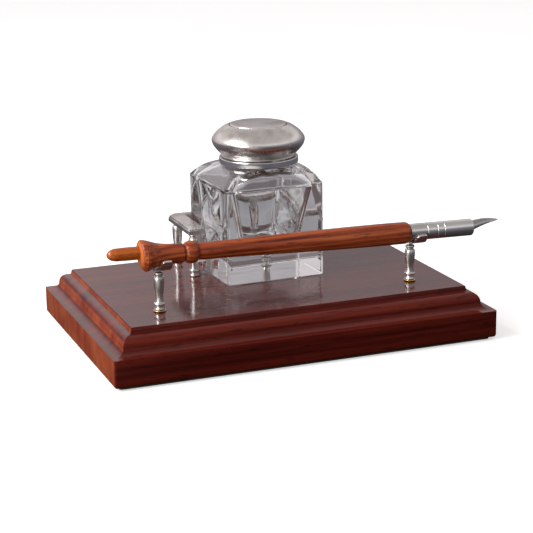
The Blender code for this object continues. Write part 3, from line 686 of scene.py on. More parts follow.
@dataclass
class Plinth:
    """The moulded board, from its square block up through cove, ovolo and quirk."""

    ledge: float = 1.0 * MM
    cove: Point = (5.0 * MM, 3.6 * MM)
    ovolo: Point = (4.5 * MM, 4.6 * MM)
    quirk: Point = (0.9 * MM, 2.6 * MM)
    lip: float = 0.35 * MM
    edge: float = 1.4 * MM
    spans: int = 14

    def outline(self) -> list[Point]:
        """Draw the moulding's outline.

        Returns:
            (inward, upward) points, measured from the block's top edge.
        """
        points = [(0.0, 0.0), (self.ledge, 0.0)]
        for i in range(1, self.spans + 1):
            angle = math.radians(90 * i / self.spans)
            inward = self.ledge + self.cove[0] * math.sin(angle)
            points.append((inward, self.cove[1] * (1 - math.cos(angle))))
        start = points[-1]
        for i in range(1, self.spans + 1):
            angle = math.radians(90 * i / self.spans)
            inward = start[0] + self.ovolo[0] * (1 - math.cos(angle))
            points.append((inward, start[1] + self.ovolo[1] * math.sin(angle)))
        inward, upward = points[-1]
        points.append((inward + self.quirk[0] - self.lip, upward + self.lip))
        points.append((inward + self.quirk[0], upward + self.quirk[1] - self.lip))
        points.append((inward + self.quirk[0] + self.lip, upward + self.quirk[1]))
        return points

    def ring(self, half: Point, inward: float) -> list[Point]:
        """Return a rectangle with rounded corners.

        Args:
            half: The block's half length and half depth.
            inward: How far the ring lies inside the block's sides.

        Returns:
            The ring's points, anticlockwise.
        """
        radius = max(self.edge - inward, self.lip)
        points = []
        for turn, (side_x, side_y) in enumerate(((1, 1), (-1, 1), (-1, -1), (1, -1))):
            corner = (side_x * (half[0] - inward - radius), side_y * (half[1] - inward - radius))
            points.extend(arc(corner, (radius, radius), 90 * turn, 90 * turn + 90, 6))
        return points

    def build(self) -> None:
        """Loft the plinth up its moulding and dress the pad under it."""
        low, high = (Vector(corner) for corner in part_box("plinth"))
        outline = self.outline()
        block_top = high.z - outline[-1][1]
        rings = arc((self.edge, low.z + self.edge), (self.edge, self.edge), 270, 180, 6)
        rings.extend((inward, block_top + upward) for inward, upward in outline)
        half = ((high.x - low.x) / 2, (high.y - low.y) / 2)
        bm = bmesh.new()
        loops = [[bm.verts.new((x, y, z)) for x, y in self.ring(half, inward)] for inward, z in rings]
        for lower, upper in zip(loops, loops[1:]):
            for i, vert in enumerate(lower):
                j = (i + 1) % len(lower)
                bm.faces.new((vert, lower[j], upper[j], upper[i]))
        bm.faces.new(reversed(loops[0]))
        bm.faces.new(loops[-1])
        piece = Piece("plinth_board", Body.STAND, Slot.MAHOGANY, ("plinth",)).finish(bm)
        soften(piece, 0.5 * MM, 38.0, 3)
        WARDROBE.dress(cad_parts["baize_pad"], Slot.BAIZE)


def baluster(height: float, foot: float) -> list[Point]:
    """Return the outer side of a turned upright.

    Args:
        height: Its height above its foot.
        foot: Its foot's radius.

    Returns:
        Points from the top bead down to the foot's rim.
    """
    shoulder = height - 2.1 * MM
    collar = 4.0 * MM
    bead = arc((0.56 * foot, height - 0.95 * MM), (0.24 * foot, 0.75 * MM), 88, -88, 12)
    shaft = smooth(
        [
            (0.78 * foot, shoulder - 0.25 * MM),
            (0.91 * foot, shoulder - 1.8 * MM),
            (0.86 * foot, mix(collar, shoulder, 0.60)),
            (0.71 * foot, mix(collar, shoulder, 0.33)),
            (0.65 * foot, mix(collar, shoulder, 0.14)),
            (0.72 * foot, 3.6 * MM),
        ],
        6,
    )
    ring = arc((0.76 * foot, 2.7 * MM), (0.20 * foot, 0.55 * MM), 84, -84, 12)
    drum = [
        (0.79 * foot, 2.1 * MM),
        (0.78 * foot, 1.5 * MM),
        (0.82 * foot, 0.8 * MM),
        (0.88 * foot, 0.4 * MM),
    ]
    return [*bead, (0.58 * foot, shoulder), *shaft, *ring, *smooth(drum, 3), (0.88 * foot, 0.0)]


@dataclass
class PenRest:
    """One rest: washer, turned post and the forked strap that cradles the pen."""

    side: Side
    foot: float = 2.8 * MM
    washer: float = 2.9 * MM
    spread: float = math.radians(58)
    arm: float = 2.4 * MM
    width: float = 7.6 * MM
    taper: float = 2.6 * MM
    strap: float = 1.1 * MM

    def build(self) -> None:
        """Build the rest's three pieces."""
        name = self.side.value
        post = f"rest_post_{name}"
        height = top(post) - bottom(post)
        profile = [(0.0, height), *baluster(height, self.foot), (0.0, 0.0)]
        bm = lathe(profile, upright(post), 56)
        soften(Piece(f"turned_post_{name}", Body.STAND, Slot.PEWTER, (post,)).finish(bm), 0.12 * MM)
        self.build_washer(f"rest_washer_{name}")
        self.build_fork(f"rest_fork_{name}")
        WARDROBE.dress(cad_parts[f"rest_screw_{name}"], Slot.STEEL)

    def build_washer(self, node: str) -> None:
        """Build the brass washer.

        Args:
            node: The node that it replaces.
        """
        height = top(node) - bottom(node)
        inner = 0.42 * self.washer
        edge = arc((self.washer - 0.25 * MM, height / 2), (0.25 * MM, height / 2), 90, -90, 8)
        bm = lathe([*edge, (inner, 0.0), (inner, height)], upright(node), 48, closed=True)
        Piece(f"brass_{node}", Body.STAND, Slot.BRASS, (node,)).finish(bm)

    def build_fork(self, node: str) -> None:
        """Build the bent strap, its arms narrowed on their left and its ends rounded.

        Args:
            node: The node that it replaces.
        """
        low, high = (Vector(corner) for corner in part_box(node))
        arm_rise = math.sin(self.spread)
        seat = self.seat_radius(high.z - low.z)
        centre = Vector(((low.x + high.x) / 2, (low.y + high.y) / 2, low.z + seat + self.strap))
        reach = seat * self.spread + self.arm
        bm = bmesh.new()
        bmesh.ops.create_grid(bm, x_segments=64, y_segments=12, size=1.0)
        for vert in bm.verts:
            along, across = vert.co.x * reach, vert.co.y
            bend = min(abs(along), seat * self.spread)
            arm = abs(along) - bend
            y = seat * math.sin(bend / seat) + arm * math.cos(self.spread)
            z = arm * arm_rise - seat * math.cos(bend / seat)
            share = abs(along) / reach
            end = max(0.0, (share - 0.8) / 0.2)
            narrowed = self.taper * share
            half = (self.width - narrowed) / 2 * mix(1.0, math.sqrt(max(0.0, 1 - end * end)), 0.4)
            vert.co = centre + Vector((narrowed / 2 + across * half, math.copysign(y, along), z))
        bmesh.ops.recalc_face_normals(bm, faces=bm.faces)
        if sum(face.normal.z for face in bm.faces) < 0:
            bmesh.ops.reverse_faces(bm, faces=bm.faces)
        bmesh.ops.solidify(bm, geom=bm.faces[:], thickness=self.strap)
        piece = Piece(f"strap_{node}", Body.STAND, Slot.PEWTER, (node,)).finish(bm)
        soften(piece, 0.3 * MM, 50.0, 3)

    def seat_radius(self, rise: float) -> float:
        """Return the seat's radius.

        Args:
            rise: The strap's whole height, from its underside to the arms' tips.

        Returns:
            The inner radius that gives that height.
        """
        tip = self.arm * math.sin(self.spread)
        return (rise - self.strap - tip) / (1 - math.cos(self.spread))


@dataclass
class Gallery:
    """The two-tier U-shaped rail on its turned legs."""

    bay: tuple[float, float, float] = (-25.1 * MM, 28.9 * MM, 43.9 * MM)
    cant: float = 3.5 * MM
    lower: float = 2.0 * MM
    joint: float = 0.05 * MM
    ledge: float = 0.45 * MM
    step: float = 0.45 * MM
    foot: float = 2.75 * MM
    legs: tuple[str, ...] = (
        "front_left",
        "back_left",
        "middle_left",
        "middle_right",
        "back_right",
        "front_right",
    )

    def build(self) -> None:
        """Build the rail and the legs."""
        self.build_rail()
        for where in self.legs:
            node = f"gallery_leg_{where}"
            height = bottom("gallery_rail") - self.joint - bottom(node)
            profile = [(0.0, height), *baluster(height, self.foot), (0.0, 0.0)]
            bm = lathe(profile, upright(node), 48)
            soften(Piece(f"turned_{node}", Body.STAND, Slot.PEWTER, (node,)).finish(bm), 0.1 * MM)
            WARDROBE.dress(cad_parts[f"leg_screw_{where}"], Slot.STEEL)

    def build_rail(self) -> None:
        """Build the rail: the outline raised, stepped in, then raised again."""
        low, high = (Vector(corner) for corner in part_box("gallery_rail"))
        left, right, back = self.bay
        plan = [
            (low.x, low.y),
            (left, low.y),
            (left, back),
            (right, back),
            (right, low.y),
            (high.x, low.y),
            (high.x, high.y - self.cant),
            (high.x - self.cant, high.y),
            (low.x + self.cant, high.y),
            (low.x, high.y - self.cant),
        ]
        bm = bmesh.new()
        base = bm.faces.new([bm.verts.new((x, y, low.z)) for x, y in plan])
        raised = bmesh.ops.extrude_face_region(bm, geom=[base])["geom"]
        lifted = [item for item in raised if isinstance(item, bmesh.types.BMVert)]
        bmesh.ops.translate(bm, vec=(0, 0, self.lower), verts=lifted)
        bmesh.ops.recalc_face_normals(bm, faces=bm.faces)
        face = max(bm.faces, key=lambda f: f.calc_center_median().z)
        upper = high.z - low.z - self.lower
        ogee = arc((0.0, 0.0), (self.step, upper), 180, 90, 6)
        steps = [(self.ledge, 0.0), *((b[0] - a[0], b[1] - a[1]) for a, b in zip(ogee, ogee[1:]))]
        for inward, upward in steps:
            bmesh.ops.inset_region(bm, faces=[face], thickness=inward, depth=upward, use_even_offset=True)
        piece = Piece("two_tier_rail", Body.STAND, Slot.PEWTER, ("gallery_rail",)).finish(bm, 50.0)
        soften(piece, 0.15 * MM, 50.0, 3)


# ---------------------------------------------------------------- inkwell


@dataclass
class Inkwell:
    """The square bottle, its collar and its domed, hinged lid."""

    centre: Point = (2.7 * MM, 16.9 * MM)
    turn: float = math.radians(2.3)
    half: float = 25.4 * MM
    corner: float = 1.5 * MM
    side_top: float = 72.4 * MM
    shoulder_top: float = 79.3 * MM
    neck: float = 16.6 * MM
    neck_shift: float = 2.0 * MM
    mouth: float = 13.4 * MM
    floor: float = 36.4 * MM
    floor_half: float = 15.4 * MM
    well_half: float = 21.6 * MM
    well_top: float = 69.8 * MM
    collar: float = 19.6 * MM
    collar_bore: float = 18.0 * MM
    collar_band: Point = (79.7 * MM, 82.9 * MM)
    collar_edge: float = 0.5 * MM
    knuckle: Point = (1.7 * MM, 3.2 * MM)
    hinge_gap: float = 0.3 * MM
    lid: float = 23.0 * MM
    lid_rim: float = 18.5 * MM
    lid_widest: float = 91.3 * MM
    lid_lip: float = 98.7 * MM
    lid_wall: float = 1.1 * MM
    lid_bead: Point = (0.6 * MM, 0.45 * MM)
    lid_bead_foot: float = 83.2 * MM
    lid_web: Point = (83.5 * MM, 84.6 * MM)
    disc: float = 14.0 * MM
    disc_edge: float = 0.7 * MM
    dome: tuple[Point, ...] = (
        (15.0 * MM, 98.6 * MM),
        (17.0 * MM, 97.75 * MM),
        (18.5 * MM, 96.8 * MM),
        (20.3 * MM, 95.4 * MM),
        (21.8 * MM, 93.8 * MM),
        (22.7 * MM, 92.4 * MM),
    )
    belly: tuple[Point, ...] = (
        (22.75 * MM, 90.0 * MM),
        (22.1 * MM, 88.5 * MM),
        (20.6 * MM, 86.6 * MM),
        (19.1 * MM, 85.0 * MM),
        (18.25 * MM, 84.1 * MM),
    )
    lining: tuple[Point, ...] = ((18.2 * MM, 85.7 * MM), (21.0 * MM, 89.2 * MM))
    lining_top: tuple[Point, ...] = ((20.6 * MM, 94.2 * MM), (17.0 * MM, 95.8 * MM))

    def frame(self, shift: float = 0.0) -> Matrix:
        """Return axes on the inkwell's own centre line, at the height of the desk."""
        at = Matrix.Translation((*self.centre, 0.0)) @ Matrix.Rotation(self.turn, 4, "Z")
        return at @ Matrix.Translation((shift, 0.0, 0.0))

    def directions(self) -> list[float]:
        """Space a ring's points, close together at the square's corners.

        Returns:
            Their angles, in order.
        """
        start = math.degrees(math.atan2(self.half - self.corner, self.half))
        flat = [0.0, 6.0, 12.0, 18.0, 24.0, 30.0, 35.0, 39.0, start]
        rounding = [mix(start, 45.0, i / 4) for i in range(1, 5)]
        octant = [*flat, *rounding]
        quarter = [*octant, *(90.0 - angle for angle in reversed(octant[1:-1]))]
        return [math.radians(angle + 90 * turn) for turn in range(4) for angle in quarter]

    @staticmethod
    def on_square(angle: float, half: float, corner: float) -> Point:
        """Find a point on a square with rounded corners.

        Args:
            angle: The point's direction.
            half: Half the square's side.
            corner: The corners' radius; equal to half it makes a circle.

        Returns:
            The point.
        """
        turn = angle % (math.pi / 2)
        c, s = math.cos(turn), math.sin(turn)
        distance = half / max(c, s)
        flat = half - corner
        if min(c, s) * distance > flat:
            reach = flat * (c + s)
            distance = reach + math.sqrt(max(0.0, reach * reach - 2 * flat * flat + corner * corner))
        return distance * math.cos(angle), distance * math.sin(angle)

    def shoulder(
        self, half: float, corner: float, low: float, neck: float, high: float, count: int
    ) -> list[Ring]:
        """Return rings from a square over a convex shoulder to a round neck.

        Args:
            half: The square's half side.
            corner: Its corners' radius.
            low: Its height.
            neck: The neck's radius.
            high: The neck's height.
            count: Spans between them.

        Returns:
            (half, corner, height, share of the neck's shift) for each ring.
        """
        rings = []
        for i in range(count + 1):
            t = i / count
            size = mix(half, neck, t)
            rounding = min(size, mix(corner, neck, t**2.6))
            rings.append((size, rounding, mix(low, high, math.sin(t * math.pi / 2)), t))
        return rings

    def rings(self) -> list[Ring]:
        """List the bottle's rings.

        Returns:
            Every ring, up the outside, over the rim and down the well.
        """
        foot, rim_top = bottom("glass_bottle"), top("glass_bottle")
        chamfer, rim = 0.6 * MM, 0.5 * MM
        half, corner = self.half, self.corner
        outer = [
            (half - chamfer, corner, foot, 0.0),
            (half - 0.3 * chamfer, corner, foot + 0.3 * chamfer, 0.0),
            (half, corner, foot + chamfer, 0.0),
            (half, corner, self.side_top - 1.0 * MM, 0.0),
            (half - 0.12 * MM, corner, self.side_top - 0.45 * MM, 0.0),
            *self.shoulder(half - 0.5 * MM, corner, self.side_top, self.neck, self.shoulder_top, 18),
        ]
        lip = arc((self.neck - rim, rim_top - rim), (rim, rim), 0, 90, 5)
        inner_lip = arc((self.mouth + rim, rim_top - rim), (rim, rim), 90, 180, 5)
        neck = [(radius, radius, height, 1.0) for radius, height in [*lip, *inner_lip]]
        inner = self.shoulder(
            self.well_half, 4 * MM, self.well_top, self.mouth, self.shoulder_top - 4 * MM, 12
        )
        drop = 5.0 * MM
        bowl = []
        for i in range(11):
            angle = math.radians(90 * i / 10)
            size = self.floor_half - drop * (1 - math.cos(angle))
            bowl.append((size, 5 * MM, self.floor + drop * (1 - math.sin(angle)), 0.0))
        return [*outer, *neck, *reversed(inner), *bowl]

    def build_bottle(self) -> None:
        """Loft the bottle ring by ring."""
        bm = bmesh.new()
        directions = self.directions()
        loops = []
        for half, corner, height, shift in self.rings():
            points = [self.on_square(angle, half, corner) for angle in directions]
            loops.append([bm.verts.new((x + shift * self.neck_shift, y, height)) for x, y in points])
        for lower, upper in zip(loops, loops[1:]):
            for i, vert in enumerate(lower):
                j = (i + 1) % len(lower)
                bm.faces.new((vert, lower[j], upper[j], upper[i]))
        bm.faces.new(reversed(loops[0]))
        bm.faces.new(loops[-1])
        bmesh.ops.transform(bm, matrix=self.frame(), verts=bm.verts)
        bottle = Piece("square_bottle", Body.INKWELL, Slot.GLASS, ("glass_bottle",)).finish(bm, 60.0)
        weigh = bottle.modifiers.new("flat_sides", "WEIGHTED_NORMAL")
        weigh.mode = "FACE_AREA"
        weigh.keep_sharp = True

    def knuckles(
        self, bm: bmesh.types.BMesh, centres: Iterable[float], web: tuple[float, float, float]
    ) -> None:
        """Add hinge knuckles to a ring's shape.

        Args:
            bm: The shape that they join.
            centres: Their places along the hinge.
            web: The web's start, bottom and top.
        """
        pin = middle("hinge_pin")
        local = self.frame(self.neck_shift).inverted() @ pin
        radius, length = self.knuckle
        for centre in centres:
            start, low, high = web
            profile = [
                (radius, length / 2),
                (radius, -length / 2),
                (0.55 * radius, -length / 2),
                (0.55 * radius, length / 2),
            ]
            at = self.frame(self.neck_shift) @ Matrix.Translation((centre, local.y, local.z))
            barrel = lathe(profile, at @ Matrix.Rotation(math.pi / 2, 4, "Y"), 40, closed=True)
            mesh = bpy.data.meshes.new("knuckle")
            barrel.to_mesh(mesh)
            barrel.free()
            bm.from_mesh(mesh)
            bpy.data.meshes.remove(mesh)
            made = bmesh.ops.create_cube(bm, size=1.0)["verts"]
            end = local.y - 0.75 * radius
            size = Matrix.Diagonal((0.96 * length, end - start, high - low, 1.0))
            web_at = Matrix.Translation((centre, (start + end) / 2, (low + high) / 2))
            bmesh.ops.transform(bm, matrix=self.frame(self.neck_shift) @ web_at @ size, verts=made)

    def build_collar(self) -> None:
        """Build the polished collar with its two knuckles."""
        low, high = self.collar_band
        soft = self.collar_edge
        side = [
            *arc((self.collar - soft, high - soft), (soft, soft), 90, 0, 6),
            *arc((self.collar - soft, low + soft), (soft, soft), 0, -90, 6),
        ]
        profile = [*side, (self.collar_bore, low), (self.collar_bore, high)]
        bm = lathe(profile, self.frame(self.neck_shift), 96, closed=True)
        pitch = self.knuckle[1] + self.hinge_gap
        self.knuckles(bm, (-pitch, pitch), (self.collar_bore + soft, low + 0.4 * MM, high - 0.2 * MM))
        piece = Piece("polished_collar", Body.INKWELL, Slot.NICKEL, ("collar",)).finish(bm)
        soften(piece, 0.12 * MM)

    def lid_profile(self) -> list[Point]:
        """Draw the lid's section.

        Returns:
            (radius, height) points from the flat top round the rim and back inside.
        """
        flat = bottom("lid_disc") - self.hinge_gap
        rim_low = bottom("lid_shell")
        recess = self.disc + self.hinge_gap
        dome = smooth([*self.dome, (self.lid, self.lid_widest)], 5)
        belly = smooth([(self.lid, self.lid_widest), *self.belly], 5)
        wide, high = self.lid_bead
        bead = arc((self.lid_rim - wide, self.lid_bead_foot + high), (wide, high), 75, -90, 12)
        inner = [
            (self.lid_rim - self.lid_wall, max(self.lid_bead_foot, rim_low)),
            (self.lid_rim - self.lid_wall, self.lid_web[1]),
            *self.lining,
            (self.lid - self.lid_wall, self.lid_widest),
            *self.lining_top,
            (0.0, flat - self.lid_wall),
        ]
        seat = [(0.0, flat), (recess, flat), (recess, self.lid_lip - 0.15 * MM), (14.6 * MM, self.lid_lip)]
        return [*seat, *dome[:-1], *belly, *bead, *inner]

    def build_lid(self) -> None:
        """Build the domed shell with its knuckle, and the disc let into its top."""
        bm = lathe(self.lid_profile(), self.frame(self.neck_shift), 128)
        self.knuckles(bm, (0.0,), (self.lid_rim - 0.8 * MM, *self.lid_web))
        Piece("domed_lid", Body.LID, Slot.PEWTER, ("lid_shell",)).finish(bm, 50.0)
        low, high = bottom("lid_disc"), top("lid_disc")
        soft = self.disc_edge
        edge = arc((self.disc - soft, high - soft - 0.2 * MM), (soft, soft), 80, 0, 8)
        crown = [(self.disc * t, high - 0.2 * MM * t * t) for t in (0.0, 0.25, 0.5, 0.75, 0.9)]
        profile = [*crown, *edge, (self.disc, low), (0.0, low)]
        bm = lathe(profile, self.frame(self.neck_shift), 128)
        Piece("raised_disc", Body.LID, Slot.PEWTER, ("lid_disc",)).finish(bm, 50.0)

    def build(self) -> None:
        """Build the visible pieces and dress the hidden ones."""
        self.build_bottle()
        self.build_collar()
        self.build_lid()
        kept = {
            "collar_cement": Slot.CEMENT,
            "hinge_pin": Slot.STEEL,
            "lid_liner": Slot.PEWTER,
            "lid_seal": Slot.CORK,
        }
        for node, slot in kept.items():
            WARDROBE.dress(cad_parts[node], slot)


# ---------------------------------------------------------------- pen


@dataclass
class Pen:
    """The pen, built up its own Z axis from the middle of the plinth towards the nib."""

    slope: float = math.radians(1.215)
    height: float = 50.64 * MM
    tip: float = -73.2 * MM
    ridge: float = -70.4 * MM
    bead: Point = (-51.6 * MM, -45.2 * MM)
    handle_end: float = 62.1 * MM
    finial_tip: float = -88.3 * MM
    finial: float = 3.0 * MM
    finial_rise: float = 1.7 * MM
    finial_bullet: float = 5.0 * MM
    shaft_radius: Point = (4.0 * MM, 5.35 * MM)
    swell_end: float = 52.0 * MM
    neck: tuple[Point, ...] = (
        (4.6 * MM, -56.5 * MM),
        (4.85 * MM, -60.5 * MM),
        (5.5 * MM, -64.5 * MM),
        (6.4 * MM, -67.5 * MM),
        (7.15 * MM, -69.5 * MM),
    )
    ferrule: Point = (62.4 * MM, 96.0 * MM)
    ferrule_radius: Point = (4.1 * MM, 3.4 * MM)
    grooves: tuple[float, ...] = (70.9 * MM, 76.4 * MM, 80.1 * MM)
    nib: Point = (86.0 * MM, 111.0 * MM)
    nib_radius: float = 3.08 * MM
    nib_sheet: float = 0.32 * MM
    breather: Point = (101.5 * MM, 0.55 * MM)
    slit: Point = (0.12 * MM, 0.075 * MM)

    def frame(self, rise: float = 0.0) -> Matrix:
        """Lay axes along the pen, Z towards the nib and -X up.

        Args:
            rise: How far they lie above the pen's own axis.

        Returns:
            The axes.
        """
        y = middle("pen_ferrule").y
        lie = Matrix.Rotation(math.pi / 2 + self.slope, 4, "Y")
        return Matrix.Translation((0.0, y, self.height)) @ lie @ Matrix.Translation((-rise, 0.0, 0.0))

    def handle_profile(self) -> list[Point]:
        """Draw the handle's outer side.

        Returns:
            (radius, along) points from the ferrule end to the finial end.
        """
        start, end = self.bead
        nose = arc((4.0 * MM, self.handle_end - 2.4 * MM), (1.3 * MM, 2.4 * MM), 90, 10, 12)
        shaft = []
        thick_end, thin_end = self.swell_end, end + 0.8 * MM
        for i in range(25):
            t = i / 24
            swell = 0.5 - 0.5 * math.cos(math.pi * (1 - t) ** 0.8)
            shaft.append((mix(*self.shaft_radius, swell), mix(thick_end, thin_end, t)))
        bead = arc((3.9 * MM, (start + end) / 2), (1.4 * MM, (end - start) / 2 - 0.3 * MM), 85, -85, 18)
        groove = 3.7 * MM
        neck = smooth([(4.55 * MM, start - 0.9 * MM), *self.neck], 5)
        ridge = arc((6.7 * MM, self.ridge), (0.6 * MM, 0.6 * MM), 60, -40, 8)
        dome_start = self.ridge - 0.5 * MM
        dome = arc((3.4 * MM, dome_start), (3.6 * MM, dome_start - self.tip), -15, -90, 12)
        return [
            (0.0, self.handle_end - 0.2 * MM),
            (3.0 * MM, self.handle_end),
            *nose,
            *shaft,
            (groove, end + 0.2 * MM),
            *bead,
            (groove, start - 0.2 * MM),
            *neck,
            *ridge,
            *dome,
            (0.0, self.tip),
        ]

    def build_handle(self) -> None:
        """Build the handle; past its ridge the end is carved off centre."""
        bm = lathe(self.handle_profile(), Matrix.Identity(4), 72)
        for vert in bm.verts:
            past = (self.ridge - vert.co.z) / (self.ridge - self.tip)
            vert.co.x -= self.finial_rise * max(0.0, past)
        bmesh.ops.transform(bm, matrix=self.frame(), verts=bm.verts)
        piece = Piece("turned_handle", Body.PEN, Slot.ROSEWOOD, ("pen_handle",)).finish(bm)
        soften(piece, 0.15 * MM)

    def build_finial(self) -> None:
        """Build the bullet-shaped finial."""
        root = self.tip + 1.0 * MM
        bullet = self.finial_bullet
        tip = arc((0.0, self.finial_tip + bullet), (self.finial, bullet), 0, -90, 20)
        side = smooth([(self.finial - 0.1 * MM, root), (self.finial + 0.1 * MM, root - 4 * MM), tip[0]], 5)
        profile = [(0.0, root), *side[:-1], *tip[:-1], (0.0, self.finial_tip)]
        bm = lathe(profile, self.frame(self.finial_rise), 56)
        Piece("bullet_finial", Body.PEN, Slot.AMBER_WOOD, ("pen_finial",)).finish(bm)

    def build_ferrule(self) -> None:
        """Build the ferrule tube with its turned grooves and rounded mouth."""
        outer, inner = self.ferrule_radius
        start, end = self.ferrule
        side = arc((outer - 0.4 * MM, end - 0.4 * MM), (0.4 * MM, 0.4 * MM), 90, 0, 6)
        for groove in reversed(self.grooves):
            side.extend(arc((outer, groove), (-0.25 * MM, 0.35 * MM), 90, -90, 8))
        profile = [*side, (outer, start), (inner, start), (inner, end)]
        bm = lathe(profile, self.frame(), 72, closed=True)
        piece = Piece("grooved_ferrule", Body.PEN, Slot.NICKEL, ("pen_ferrule",)).finish(bm)
        soften(piece, 0.06 * MM)
        WARDROBE.dress(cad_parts["brass_tenon"], Slot.BRASS)
        WARDROBE.dress(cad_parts["nib_collet"], Slot.BRASS)

    def nib_section(self, along: float) -> tuple[float, float, float]:
        """Work out the nib's cross-section.

        Args:
            along: A place along the pen.

        Returns:
            Its crown height, arc radius and half angle there.
        """
        mouth = self.ferrule[1]
        if along <= mouth:
            return self.nib_radius, self.nib_radius, math.radians(101)
        t = (along - mouth) / (self.nib[1] - mouth)
        crown = self.nib_radius + 0.9 * MM * math.sin(math.pi * min(1.0, t * 0.85)) - 0.6 * MM * t**3
        radius = mix(0.35 * MM, self.nib_radius, (1 - t) ** 0.5)
        drop = 3.75 * MM * (1 - t) ** 0.75 + 0.08 * MM
        return crown, radius, math.acos(max(-1.0, 1 - drop / radius))

    def build_nib(self) -> None:
        """Build the nib: a sheet grid bent to its sections, with its slit and breather hole."""
        start, tip = self.nib
        bm = bmesh.new()
        bmesh.ops.create_grid(bm, x_segments=100, y_segments=40, size=1.0)
        hole_at, hole_radius = self.breather
        gone = []
        for face in bm.faces:
            at = face.calc_center_median()
            along = mix(start, tip, (at.x + 1) / 2)
            _, radius, half_angle = self.nib_section(along)
            across = at.y * half_angle * radius
            if math.hypot(along - hole_at, across) < hole_radius:
                gone.append(face)
        for vert in bm.verts:
            along = mix(start, tip, (vert.co.x + 1) / 2)
            crown, radius, half_angle = self.nib_section(along)
            angle = vert.co.y * half_angle
            groove = math.exp(-((angle * radius / self.slit[0]) ** 2)) if along > hole_at else 0.0
            height = crown - radius * (1 - math.cos(angle)) - self.slit[1] * groove
            vert.co = Vector((-height, radius * math.sin(angle), along))
        bmesh.ops.delete(bm, geom=gone, context="FACES")
        bmesh.ops.recalc_face_normals(bm, faces=bm.faces)
        crown_face = min(bm.faces, key=lambda f: f.calc_center_median().x)
        if crown_face.normal.x > 0:
            bmesh.ops.reverse_faces(bm, faces=bm.faces)
        bmesh.ops.solidify(bm, geom=bm.faces[:], thickness=self.nib_sheet)
        bmesh.ops.transform(bm, matrix=self.frame(), verts=bm.verts)
        Piece("pressed_nib", Body.NIB, Slot.NIB_STEEL, ("nib",)).finish(bm, 50.0)

    def build(self) -> None:
        """Build every piece of the pen."""
        self.build_handle()
        self.build_finial()
        self.build_ferrule()
        self.build_nib()


# ---------------------------------------------------------------- studio


def outward(azimuth: float, elevation: float) -> Vector:
    """Return the direction from the object towards a viewer or a lamp.

    Args:
        azimuth: Radians round from the front, negative to the left.
        elevation: Radians above the desk.

    Returns:
        A unit vector.
    """
    level = math.cos(elevation)
    return Vector((math.sin(azimuth) * level, -math.cos(azimuth) * level, math.sin(elevation)))


@dataclass(frozen=True)
class Softbox:
    """A rectangular lamp: degrees round and up, metres away, metres wide and high, watts."""

    name: str
    azimuth: float
    elevation: float
    distance: float
    size: Point
    power: float


